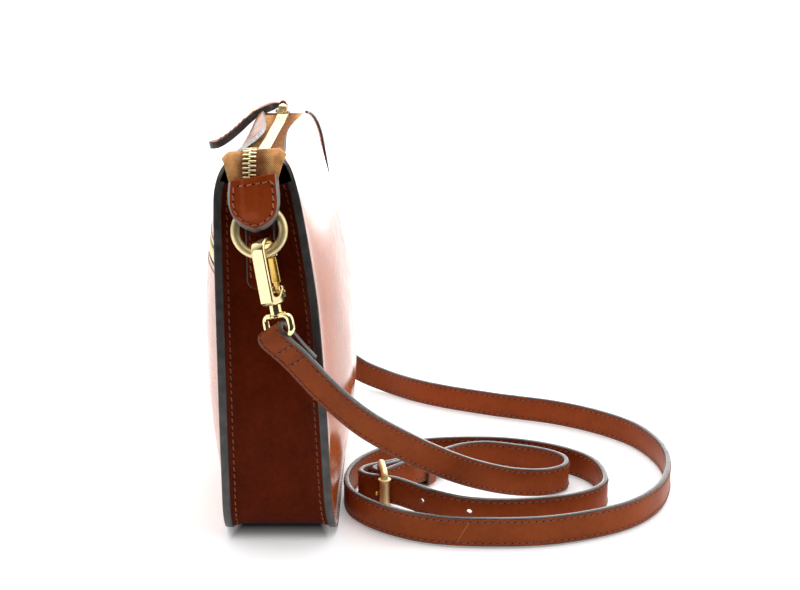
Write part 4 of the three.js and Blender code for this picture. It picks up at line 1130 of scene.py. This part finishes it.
def edge_band(side):
    """Painted edge that closes panel and gusset together; the back's stands proud at its far top corner."""
    half = BAND_DEPTH / 2
    section = round_rectangle(BAND_WIDTH / 2, half, BAND_SOFT, 4)
    line = outline()
    most = 0
    if side > 0:
        line += top_corner(-1, BAND_CORNER)
        most = BAND_LAP
    rings = []
    for x, z, n in line:
        lap = most * clamp((-x - BAND_LAP_FROM) / BAND_LAP_FADE) * clamp((z - BAND_LAP_LOW) / BAND_LAP_RISE)
        slim = 1 - BAND_SLIM * clamp((z - GUSSET_TOP) / BAND_SLIM_RISE) if x < 0 else 1
        place = Vector((x, edge(side, z) - side * (slim * BAND_WIDTH / 2 - BAND_PROUD - lap), z))
        out = Vector((n[0], 0, n[1]))
        rings.append([place + out * (d - half) + Vector((0, slim * a, 0)) for a, d in section])
    return Shape().loft(rings)


def body_stitching():
    """Rows on the gusset inside both painted edges, low on the panels and beside the pocket's slot."""
    shape = Shape()
    depth = gusset_depth(GUSSET_STITCH)
    slope = gusset_depth(GUSSET_STITCH + 0.5) - gusset_depth(GUSSET_STITCH - 0.5)
    for side in (-1, 1):
        on_gusset = []
        for x, z, n in outline():
            y = edge(side, z) - side * (PANEL + GUSSET_STITCH)
            out = Vector((n[0], -side * slope, n[1])).normalized()
            down = depth * (1 - BOTTOM_FILL * max(0, -n[1]))
            on_gusset.append((Vector((x - n[0] * down, y, z - n[1] * down)), out))
        stitch_row(shape, on_gusset, SLIM_STITCH)
        low = [(x, z) for x, z, _ in outline(amount=PANEL_STITCH) if z < PANEL_STITCH_TOP]
        stitch_row(shape, [on_panel(side, x, z, -PANEL_THREAD_SINK) for x, z in low], PANEL_THREAD)
    seam = range(-POCKET_SEAM_END, POCKET_SEAM_END + 1, 6)
    for height in (POCKET_LOW - POCKET_SEAM, POCKET_HIGH + POCKET_SEAM):
        stitch_row(shape, [on_panel(-1, x, height) for x in seam], SLIM_STITCH)
    return shape


BODY_LOOKS = [PANEL_LEATHER, LINING, EDGE_PAINT]
piece("leather_front_lower", panel(-1, 0, POCKET_LOW), BODY_LOOKS, ["front_panel_lower"])
piece("leather_front_upper", panel(-1, POCKET_HIGH, TOP), BODY_LOOKS, ["front_panel_upper"])
piece("leather_back", panel(1, 0, TOP), BODY_LOOKS, ["back_panel"])
piece("leather_gusset", gusset(), [GUSSET_LEATHER, LINING, EDGE_PAINT], ["gusset"])
piece("painted_edge_front", edge_band(-1), [EDGE_PAINT])
piece("painted_edge_back", edge_band(1), [EDGE_PAINT])
piece("body_stitching", body_stitching(), SEWN_LOOKS)


# Top zip

ZIP_Y = -7.15
TEETH_Y = -8.75
TAPE = 0.7
TAPE_GAP = 0.08
TAPE_COLUMNS = 16
TEETH_START = -102
TEETH_LOWEST = 181
TOOTH_PITCH = 2.07
TOOTH_THICK = 0.95
TOOTH_INNER = -0.5
TOOTH_OUTER = 3.2
TOOTH_DEEP = 2.4
CREST_X = 103.5
CREST_REACH = 8
CREST_TILT = 0.075
WING_FROM = 0.76
WING_DROOP = 3
WING_POWER = 1.4
# Middle of the tape from the far end to the near end, where it goes on under the tab: x, z and half width
ZIP_ROWS = [
    (-110.6, 182.8, 11.6), (-109, 184.6, 12.4), (-105, 185.5, 13.4), (-98, 185.5, 13.4), (-92, 185.5, 13),
    (-86, 185.5, 13), (-74, 184.6, 13.7), (-40, 184.5, 13.7), (0, 184.5, 13.6), (40, 184.5, 13.6),
    (70, 184.5, 13.7), (80, 185, 13.6), (88, 187, 12.2), (94, 190.4, 13), (99, 194, 14.4), (103, 195.5, 15),
    (107.2, 193.2, 14.4), (109.6, 188.6, 13), (110.6, 184, 11.8), (110.8, 180, 10.6),
]
ZIP_LINE = [Vector((x, half, z)) for x, z, half in ZIP_ROWS]


def zip_stations(step):
    """Places along the zip's middle, with the half width, the direction and the outward normal."""
    flat = [Vector((p.x, 0, p.z)) for p in samples(ZIP_LINE, 1200)]
    found = []
    for t in even(flat, step):
        p = spline(ZIP_LINE, t)
        ahead = spline(ZIP_LINE, t + 0.002) - spline(ZIP_LINE, t - 0.002)
        along = Vector((ahead.x, 0, ahead.z)).normalized()
        found.append((Vector((p.x, ZIP_Y, p.z)), p.y, along, Vector((-along.z, 0, along.x))))
    return found


def zip_tape(side):
    """One half of the tape, from under the teeth out to a wing that droops at the near end's crest."""
    rings = []
    flat = []
    travel = 0.0
    last = None
    first = side * (TEETH_Y - ZIP_Y) + TAPE_GAP
    for place, half, along, out in zip_stations(1.6):
        travel += (place - last).length if last else 0
        last = place
        crest = max(0, 1 - ((place.x - CREST_X) / CREST_REACH) ** 2)
        most = half - lip_draw(side, place.x, place.z)
        upper = []
        reaches = [first + (most - first) * i / TAPE_COLUMNS for i in range(TAPE_COLUMNS + 1)]
        for reach in reaches:
            droop = WING_DROOP * clamp((reach / most - WING_FROM) / (1 - WING_FROM)) ** WING_POWER
            rise = (side * reach * CREST_TILT - droop) * crest + TAPE / 2
            upper.append(place + Vector((0, side * reach, 0)) + out * rise)
        rings.append(upper + [p - out * TAPE for p in reversed(upper)])
        flat += [(travel * MM, side * reach * MM) for reach in reaches + reaches[::-1]]
    return Shape().loft(rings, flat=flat)


def tooth(shape, place, along, across, scale=1.0):
    """One metal tooth, gripping the tape on one side and reaching past the middle."""
    half = (TOOTH_OUTER - TOOTH_INNER) / 2 * scale
    middle = place + across * ((TOOTH_OUTER + TOOTH_INNER) / 2 * scale)
    plate = round_rectangle(half, TOOTH_THICK / 2, 0.36, 2)
    slab(shape, plate, TOOTH_DEEP * scale, 0.35, basis(middle, across, along))


def top_teeth():
    shape = Shape()
    spots = [s for s in zip_stations(TOOTH_PITCH / 2) if s[0].x > TEETH_START and s[0].z > TEETH_LOWEST]
    for i, (place, _, along, _) in enumerate(spots):
        tooth(shape, Vector((place.x, TEETH_Y, place.z)), along, Vector((0, 1 if i % 2 else -1, 0)))
    return shape


piece("zip_cloth_front", zip_tape(-1), [TAPE_CLOTH], ["zip_tape_front"])
piece("zip_cloth_back", zip_tape(1), [TAPE_CLOTH], ["zip_tape_back"])
piece("zip_teeth_row", top_teeth(), [TEETH_BRASS], ["zip_teeth"])


# Leather tabs over the zip's ends

TAB = 3.2
TAB_DROP_FAR = 1.2
TAB_RIM = 1.25
TAB_TIP_RIM = 1.9
TAB_STITCH = 2.9
TAB_BUMP = 1.1
TAB_BUMP_HALF = 4.6
TAB_BUMP_SOFT = 2.4
TAB_BUMP_END = 0.74
TAB_BUMP_FADE = 0.2
TAB_EDGE_DROP = 0.3
TAB_EDGE_POWER = 8
TAB_TIP_FROM = 0.55
TAB_STEPS = 240
TAB_SLANT_LOW = -1
TAB_SLANT_HIGH = 2.9
TAB_SLANT_REACH = 14
# Middle of a tab from its top to its tip: x, z and half width
TAB_ROWS = [
    (110.7, 183.5, 11.4), (110.8, 178, 11.9), (110, 172, 12.1), (108.9, 166.5, 11), (107.8, 162, 8.6),
    (107.2, 159, 5.4), (106.8, 157, 0.8),
]


class Tab:
    """A tab's middle sheet: places by the distance down from its top and the distance across."""

    def __init__(self, direction, drop, slant):
        self.direction = direction
        self.drop = drop
        self.slant = slant
        rows = [Vector((x, half, z)) for x, z, half in TAB_ROWS]
        self.fine = samples(rows, TAB_STEPS)
        self.downs = [0.0]
        for p, q in zip(self.fine, self.fine[1:]):
            self.downs.append(self.downs[-1] + math.hypot(q.x - p.x, q.z - p.z))

    def at(self, down, across, lift):
        i = min(max(k for k, d in enumerate(self.downs) if d <= max(down, 0)), TAB_STEPS - 1)
        w = (down - self.downs[i]) / (self.downs[i + 1] - self.downs[i])
        p = self.fine[i].lerp(self.fine[i + 1], clamp(w))
        ahead = self.fine[i + 1] - self.fine[i]
        out = Vector((self.direction * -ahead.z, 0, ahead.x)).normalized()
        middle = (TAB_SLANT_HIGH + TAB_SLANT_LOW) / 2
        lean = (TAB_SLANT_HIGH - TAB_SLANT_LOW) / 2 * across / TAB_ROWS[0][2]
        slanted = self.slant * (middle + lean) * clamp(1 - down / TAB_SLANT_REACH)
        place = Vector((self.direction * p.x, ZIP_Y + across, p.z - self.drop + slanted))
        return place + out * lift, out

    def edge(self, amount, tip=0.0):
        """One side of the outline, down and across, moved in by an amount and more at the tip."""
        line = []
        for i in range(0, TAB_STEPS + 1, 6):
            low, high = max(i - 1, 0), min(i + 1, TAB_STEPS)
            slope = (self.fine[high].y - self.fine[low].y) / (self.downs[high] - self.downs[low])
            size = math.hypot(1, slope)
            past = self.downs[i] / self.downs[-1] - TAB_TIP_FROM
            inside = amount + tip * smooth(past / (1 - TAB_TIP_FROM))
            across = self.fine[i].y - inside / size
            line.append((self.downs[i] + inside * slope / size, max(across, 0.15)))
        return line

    def face(self, down, across):
        """Height of the outer face, which is raised over the zip's end."""
        off = abs(across - TEETH_Y + ZIP_Y)
        fade = smooth((TAB_BUMP_END - down / self.downs[-1]) / TAB_BUMP_FADE)
        return TAB / 2 + TAB_BUMP * smooth((TAB_BUMP_HALF - off) / TAB_BUMP_SOFT) * fade

    def wall(self):
        shares = [math.sin(math.radians(a)) for a in range(-90, 91, 6)]
        outer = []
        inner = []
        for (down, half), (low, wide) in zip(self.edge(TAB_RIM, TAB_TIP_RIM), self.edge(0)):
            row = []
            for s in shares:
                lift = self.face(down, s * half) - TAB_EDGE_DROP * abs(s) ** TAB_EDGE_POWER
                row.append(self.at(down, s * half, lift)[0])
            outer.append(row)
            inner.append([self.at(low, s * wide, -TAB / 2)[0] for s in shares])
        return Shape().wall(outer, inner, 0)

    def stitching(self):
        shape = Shape()
        side = [(down, half) for down, half in self.edge(TAB_STITCH, TAB_TIP_RIM) if half > 0.8]
        side = [(TAB_STITCH, side[0][1]), *[spot for spot in side if spot[0] > TAB_STITCH]]
        half = side[0][1]
        top = [(TAB_STITCH, half * (i / 8 - 1)) for i in range(1, 16)]
        around = [(down, -across) for down, across in side] + side[::-1] + top[::-1] + [(TAB_STITCH, -half)]
        stitch_row(shape, [self.at(d, a, self.face(d, a) + 0.02) for d, a in around])
        return shape


# The tabs' rims take the lighter copy of the edge paint, a painted highlight
TAB_LOOKS = [TRIM_LEATHER, LINING, EDGE_PAINT_HIGHLIT]
for end, tab in (("near", Tab(1, 0, 1)), ("far", Tab(-1, TAB_DROP_FAR, 0))):
    piece(f"leather_tab_{end}", tab.wall(), TAB_LOOKS, [f"zip_tab_{end}"], bevel=0.3)
    piece(f"tab_stitching_{end}", tab.stitching(), PALE_LOOKS)


# Sliders and pulls, in the frame of a zip: x along it, y across it and z out of it

TEETH_HALF_THICK = 1.3
SLIDER_LENGTH = 11
SLIDER_WIDTH = 9
SLIDER_PLATE = 1.4
SLIDER_CORNER = 2.6
SLIDER_SOFT = 0.4
SLIDER_POST = 1
SLIDER_POST_IN = 1.2
SLIDER_X = -101
SLIDER_Z = 185.5
BAIL_BAR = 0.9
BAIL_RISE = 3.4
BAIL_SPAN = 7.4
BAIL_LEG = 2.6
PULL_NECK = 6
PULL_SHOULDER = 4.5
PULL_TIP = 6
PULL_TAPER = 7
EYE_LEATHER = 1
EYE_EASE = 0.2
EYE_SIDES = 24
PULL_STEPS = 300


def slider(shape, place, base, under):
    """A zip slider: its plate over the teeth, the bail on it and, on a free zip, the plate below."""
    plate = round_rectangle(SLIDER_LENGTH / 2, SLIDER_WIDTH / 2, SLIDER_CORNER, 6)
    top = base + SLIDER_PLATE
    for side in (1, -1) if under else (1,):
        middle = place @ Matrix.Translation((0, 0, side * (base + SLIDER_PLATE / 2)))
        slab(shape, plate, SLIDER_PLATE, SLIDER_SOFT, middle)
    if under:
        neck = SLIDER_POST_IN - SLIDER_LENGTH / 2
        tube(shape, [place @ Vector((neck, 0, z)) for z in (-base - 0.5, base + 0.5)], SLIDER_POST)
    half = BAIL_SPAN / 2 + BAIL_BAR
    bar = top + BAIL_RISE
    bend = [(-half, top - 0.5), (-half, bar - 1.4), (-half + 0.4, bar - 0.4), (-half + 1.4, bar)]
    bend += [(-x, z) for x, z in reversed(bend)]
    rings = []
    for x, z in bend:
        wide = BAIL_LEG if abs(x) > half - 1 else BAIL_BAR
        lean = (math.copysign(1, x), 0) if abs(x) > half - 1 else (0, 1)
        section = round_rectangle(wide, BAIL_BAR, BAIL_BAR * 0.9, 3)
        rings.append([place @ Vector((x + f * lean[0], w, z + f * lean[1])) for w, f in section])
    shape.loft(rings)
    return place @ Vector((0, 0, bar))


class Pull:
    """A leather pull: a strip folded round the bail's bar; rows are how far out and how far down."""

    def __init__(self, rows, thick, width, place):
        self.fine = samples([Vector((out, -drop, 0)) for out, drop in rows], PULL_STEPS)
        self.length = rows[-1][0]
        self.thick = thick
        self.width = width
        self.place = place

    def normal(self, i):
        ahead = self.fine[min(PULL_STEPS, i + 2)] - self.fine[max(0, i - 2)]
        return Vector((-ahead.y, ahead.x, 0)).normalized()

    def half_width(self, out):
        wide = PULL_NECK / 2 + (self.width - PULL_NECK) / 2 * smooth(out / PULL_SHOULDER - 1)
        tip = clamp((self.length - out) / PULL_TIP)
        return wide * math.sqrt(max(0.02, 1 - (1 - tip) ** 2))

    def strip(self):
        shape = Shape()
        half = self.thick / 2
        section = round_rectangle(1, half, 0.35, 3)
        rings = []
        for i in range(0, PULL_STEPS + 1, 5):
            here = self.fine[i]
            if here.x < BAIL_BAR + CLEAR:
                continue
            normal = self.normal(i)
            wide = self.half_width(here.x)
            thin = 0.5 + 0.5 * smooth(here.x / PULL_TAPER)
            ring = []
            for w, f in section:
                across = math.copysign(max(0, wide - 1 + abs(w)), w) if wide > 1 else w * wide
                ring.append(self.place @ (here + normal * (f * thin) + Vector((0, 0, across))))
            rings.append(ring)
        shape.loft(rings, edge_kinds(section, 0.8), cap_kind=1)
        eye = []
        middle = BAIL_BAR + EYE_EASE + EYE_LEATHER / 2
        block = round_rectangle(PULL_NECK / 2, EYE_LEATHER / 2, 0.3, 2)
        for k in range(EYE_SIDES):
            turn = 2 * math.pi * k / EYE_SIDES
            out = Vector((math.cos(turn), math.sin(turn), 0))
            eye.append([self.place @ (out * (middle + f) + Vector((0, 0, w))) for w, f in block])
        return shape.loft(eye, edge_kinds(block, PULL_NECK / 2 - 0.2), loop=True)

    def stitching(self, inside, low, high):
        """A row inside each edge, between two distances out."""
        shape = Shape()
        for side in (-1, 1):
            row = []
            offset = Vector((0, 0, side * (self.width / 2 - inside)))
            for i in range(0, PULL_STEPS + 1, 4):
                if low < self.fine[i].x < high:
                    normal = self.normal(i)
                    spot = self.fine[i] + normal * (self.thick / 2 + 0.02) + offset
                    row.append((self.place @ spot, (self.place.to_3x3() @ normal).normalized()))
            stitch_row(shape, row, SLIM_STITCH)
        return shape


# Top pull: distance out from the bail and drop
PULL_ROWS = [
    (0, 0), (5, 1), (11, 3.2), (15.5, 5.4), (20, 8.8), (26, 14.4), (34, 20.8), (39, 23.6), (44.4, 24.6),
]
PULL_THICK = 4.1
PULL_WIDTH = 11
PULL_LOOKS = [TRIM_LEATHER, EDGE_PAINT]
PULL_SEWN = (2, 21, 41)
RIVET_OUT = 16.5


def rivet(pull):
    at = next(i for i, p in enumerate(pull.fine) if p.x >= RIVET_OUT)
    half = pull.thick / 2
    profile = [(0.05, -half - 0.9), (2.2, -half - 0.75), (2.9, -half - 0.3), (2.95, -half)]
    profile += [(2.95, half + 0.02), (3, half + 0.3), (2.6, half + 0.8)]
    profile += [(1.7, half + 1.15), (0.7, half + 1.3), (0.05, half + 1.32)]
    return lathe(Shape(), profile, pull.place @ pull.fine[at], pull.place.to_3x3() @ pull.normal(at))


top_slider = Shape()
slider_place = basis((SLIDER_X, TEETH_Y, SLIDER_Z), (1, 0, 0), (0, 1, 0))
bail = slider(top_slider, slider_place, TEETH_HALF_THICK + CLEAR, True)
piece("slider_body", top_slider, [TEETH_BRASS], ["zip_slider"])
top_pull = Pull(PULL_ROWS, PULL_THICK, PULL_WIDTH, basis(bail, (0, -1, 0), (0, 0, 1)))
piece("leather_pull", top_pull.strip(), PULL_LOOKS, ["zip_pull"], "zip_pull")
piece("brass_rivet", rivet(top_pull), [POLISHED_BRASS], ["pull_rivet"], "zip_pull")
piece("pull_stitching", top_pull.stitching(*PULL_SEWN), SEWN_LOOKS, body="zip_pull")


# Pocket zip

POCKET_Z = 141
POCKET_HALF = 9.5
POCKET_TAPE_END = 92.7
POCKET_TAPE_SINK = 0.6
POCKET_TEETH_END = 97
POCKET_TEETH_SINK = 0.75
POCKET_TOOTH_SCALE = 0.85
POCKET_SLIDER_X = -80
POCKET_PLATE = 0.6
POCKET_BAR = POCKET_PLATE + SLIDER_PLATE + BAIL_RISE
POCKET_PULL_ROWS = [(0, 0), (14, 0), (28, 0), (42, 0)]
POCKET_PULL_THICK = 3
POCKET_PULL_WIDTH = 10
POCKET_PULL_SEWN = (1.8, 10, 37)
POCKET_PULL_LEAN = 0.03


def pocket_tape():
    heights = [POCKET_Z + POCKET_HALF * (i / 5 - 1) for i in range(11)]
    xs = [POCKET_TAPE_END * (i / 30 - 1) for i in range(61)]
    grid = [[on_panel(-1, x, z, -PANEL - POCKET_TAPE_SINK)[0] for x in xs] for z in heights]
    back = [[p + Vector((0, TAPE, 0)) for p in row] for row in grid]
    return Shape().wall(grid, back)


def pocket_teeth():
    shape = Shape()
    count = int(2 * POCKET_TEETH_END / (TOOTH_PITCH / 2))
    for i in range(count + 1):
        x = POCKET_TEETH_END * (2 * i / count - 1)
        place, out = on_panel(-1, x, POCKET_Z, -POCKET_TEETH_SINK)
        across = UP if i % 2 else -UP
        across = (across - out * across.dot(out)).normalized()
        tooth(shape, place, out.cross(across), across, POCKET_TOOTH_SCALE)
    return shape


def pocket_basis():
    step = 3
    x = POCKET_SLIDER_X
    rise = panel_y(-1, x + step, POCKET_Z) - panel_y(-1, x - step, POCKET_Z)
    return basis((x, panel_y(-1, x, POCKET_Z), POCKET_Z), (2 * step, rise, 0), UP)


piece("pocket_cloth", pocket_tape(), [TAPE_CLOTH] * 3, ["pocket_zip_tape"])
piece("pocket_teeth_row", pocket_teeth(), [TEETH_BRASS], ["pocket_zip_teeth"])
pocket_slider = Shape()
slider(pocket_slider, pocket_basis(), POCKET_PLATE, False)
piece("pocket_slider_body", pocket_slider, [TEETH_BRASS], ["pocket_slider"])
hanging = pocket_basis() @ basis((0, 0, POCKET_BAR), (0, -1, POCKET_PULL_LEAN), (0, POCKET_PULL_LEAN, 1))
pocket_pull = Pull(POCKET_PULL_ROWS, POCKET_PULL_THICK, POCKET_PULL_WIDTH, hanging)
piece("leather_pocket_pull", pocket_pull.strip(), PULL_LOOKS, ["pocket_pull"], "pocket_pull")
pocket_sewing = pocket_pull.stitching(*POCKET_PULL_SEWN)
piece("pocket_pull_stitching", pocket_sewing, SEWN_LOOKS, body="pocket_pull")


# Rings and their leather loops

RING_STEPS = 72
LOOP_FOOT = 5
LOOP_STEP = 1.2
LOOP_EDGE = 0.7
LOOP_THREAD = 0.32
LOOP_STITCH = 2.2
LOOP_FRONT = 98
LOOP_SEAM_TOP = 156
LOOP_SEAM = slice(-26, -3)
LOOP_LOOKS = [GUSSET_LEATHER, EDGE_PAINT]
# Middle of the loop's strip, from its back leaf's foot over the wire to its front leaf's foot: x and z
LOOP_ROWS = [
    (96.9, 128), (96.9, 145), (96.9, 158), (96.9, 165.7), (97.6, 169.7), (100.3, 172.7), (103.3, 171.3),
    (104.4, 167.7), (104, 163.3), (102, 159.3), (99.6, 155.3), (98.6, 149), (98.5, 138), (98.5, 128),
]


def ring(direction):
    up = RING_TOP - RING_LOW
    middle = (RING_TOP + RING_LOW) / 2
    line = []
    for k in range(RING_STEPS):
        turn = 2 * math.pi * k / RING_STEPS
        p = middle + up / 2 * math.cos(turn)
        line.append(Vector((direction * p.x, RING_Y + up.length / 2 * math.sin(turn), p.z)))
    return tube(Shape(), line, RING_WIRE, 20, loop=True)


def loop_stations():
    """Place, outward normal and half width of the loop's strip, with rounded feet."""
    line = [Vector((x, 0, z)) for x, z in LOOP_ROWS]
    shares = even(samples(line, 600), LOOP_STEP)
    found = []
    for k, share in enumerate(shares):
        along = (spline(line, share + 0.002) - spline(line, share - 0.002)).normalized()
        from_end = LOOP_STEP * min(k, len(shares) - 1 - k)
        corner = max(0, LOOP_FOOT - from_end) / LOOP_FOOT
        half = LOOP_WIDTH / 2 - LOOP_FOOT * (1 - math.sqrt(1 - corner**2))
        found.append((spline(line, share), Vector((-along.z, 0, along.x)), half))
    return found


def at_end(direction, p):
    return Vector((direction * p.x, p.y + RING_Y, p.z))


def ring_loop(direction):
    rings = []
    for here, out, half in loop_stations():
        section = round_rectangle(half, LOOP_LEAF / 2, LOOP_EDGE, 3)
        rings.append([at_end(direction, here + out * f + Vector((0, w, 0))) for w, f in section])
    section = round_rectangle(LOOP_WIDTH / 2, LOOP_LEAF / 2, LOOP_EDGE, 3)
    return Shape().loft(rings, edge_kinds(section, LOOP_WIDTH / 2 - LOOP_EDGE), cap_kind=1)


def loop_stitching(direction):
    """A row down each side of the front leaf."""
    shape = Shape()
    leaf = [s for s in loop_stations() if s[0].x > LOOP_FRONT and s[0].z < LOOP_SEAM_TOP][LOOP_SEAM]
    for side in (-1, 1):
        row = []
        for here, out, half in leaf:
            place = here + out * (LOOP_LEAF / 2) + Vector((0, side * (half - LOOP_STITCH), 0))
            row.append((at_end(direction, place), Vector((direction * out.x, 0, out.z))))
        stitch_row(shape, row, LOOP_THREAD)
    return shape


for end, direction in (("near", 1), ("far", -1)):
    piece(f"brass_ring_{end}", ring(direction), [SATIN_BRASS], [f"ring_{end}"])
    piece(f"leather_loop_{end}", ring_loop(direction), LOOP_LOOKS, [f"ring_loop_{end}"])
    piece(f"loop_stitching_{end}", loop_stitching(direction), SEWN_LOOKS)


# Floor, light and surroundings

# The floor glows softly to stay evenly white, with a painted shadow under the bag: its colour and glow go
# dark within these distances from its middle
FLOOR_GLOW = 0.28
SHADE_LENGTH = 0.09
SHADE_WIDTH = 0.0225
FLOOR_SIZE = 1.5
FLOOR_MIDDLE = -0.45
FLOOR_DROP = 0.0004
# Colour of the painted shadow under the bag
FLOOR_PAINTED_SHADOW = (0.03, 0.03, 0.03)
FLOOR_WHITE = (0.88, 0.88, 0.88)
FLOOR_FADE = (0.44, 0.55)
# Strength of the surroundings from behind the bag to before it, and the range of directions between
WORLD_FALL = (1.15, 0.04, -0.3, 0.5)
# The same from the horizon upwards
WORLD_RISE = (1.0, 1.5, 0.0, 0.5)


def glowing_floor():
    n = Nodes("floor_white")
    x, y, _ = n.split("Object")
    along = n.math("ABSOLUTE", n.math("ADD", x, FLOOR_MIDDLE))
    across = n.math("ABSOLUTE", n.math("SUBTRACT", y, SHIFT * MM))
    along = n.math("MULTIPLY", along, 0.5 / SHADE_LENGTH)
    across = n.math("MULTIPLY", across, 0.5 / SHADE_WIDTH)
    # Painted shadow: colour and glow fall to dark grey under the bag's footprint
    colour = n.ramp(n.math("MAXIMUM", along, across), [FLOOR_PAINTED_SHADOW, FLOOR_WHITE], *FLOOR_FADE)
    n.link(colour, n.shader.inputs["Emission Color"])
    rough = n.span(n.noise(300), 0.52, 0.7)
    return n.finish(colour, rough, Specular_IOR_Level=0.2, Emission_Strength=FLOOR_GLOW)


bpy.ops.mesh.primitive_plane_add(size=FLOOR_SIZE, location=(FLOOR_MIDDLE, 0, -FLOOR_DROP))
floor = bpy.context.object
floor.name = "floor"
floor.data.materials.append(glowing_floor())

# Bright surroundings behind the bag, darker on the side of the end that faces the camera
world = Nodes("studio", bpy.data.worlds, "Background")
world.shader.inputs["Color"].default_value = (1, 1, 1, 1)
ahead, _, above = world.split("Generated")
strength = world.math("MULTIPLY", world.span(ahead, *WORLD_FALL), world.span(above, *WORLD_RISE))
world.link(strength, world.shader.inputs["Strength"])
bpy.context.scene.world = world.owner


def softbox(name, place, goal, power, size):
    data = bpy.data.lights.new(name, "AREA")
    data.shape = "SQUARE"
    data.size = size
    data.energy = power
    lamp = bpy.data.objects.new(name, data)
    lamp.location = place
    lamp.rotation_euler = (Vector(goal) - Vector(place)).to_track_quat("-Z", "Y").to_euler()
    bpy.context.collection.objects.link(lamp)


softbox("softbox_top", (0.1, 0.1, 1.4), (0, 0.05, 0), 10.5, 1.2)
softbox("softbox_wall", (-2, 0.5, 0.1), (0, 0.1, 0.1), 14, 1.4)
softbox("softbox_front", (0.8, -1.0, 0.14), (0.1, 0, 0.12), 2.2, 0.7)
softbox("softbox_back", (0.2, 1.3, 0.7), (0, 0, 0.1), 4, 1.0)
bpy.context.scene.view_settings.view_transform = "Standard"
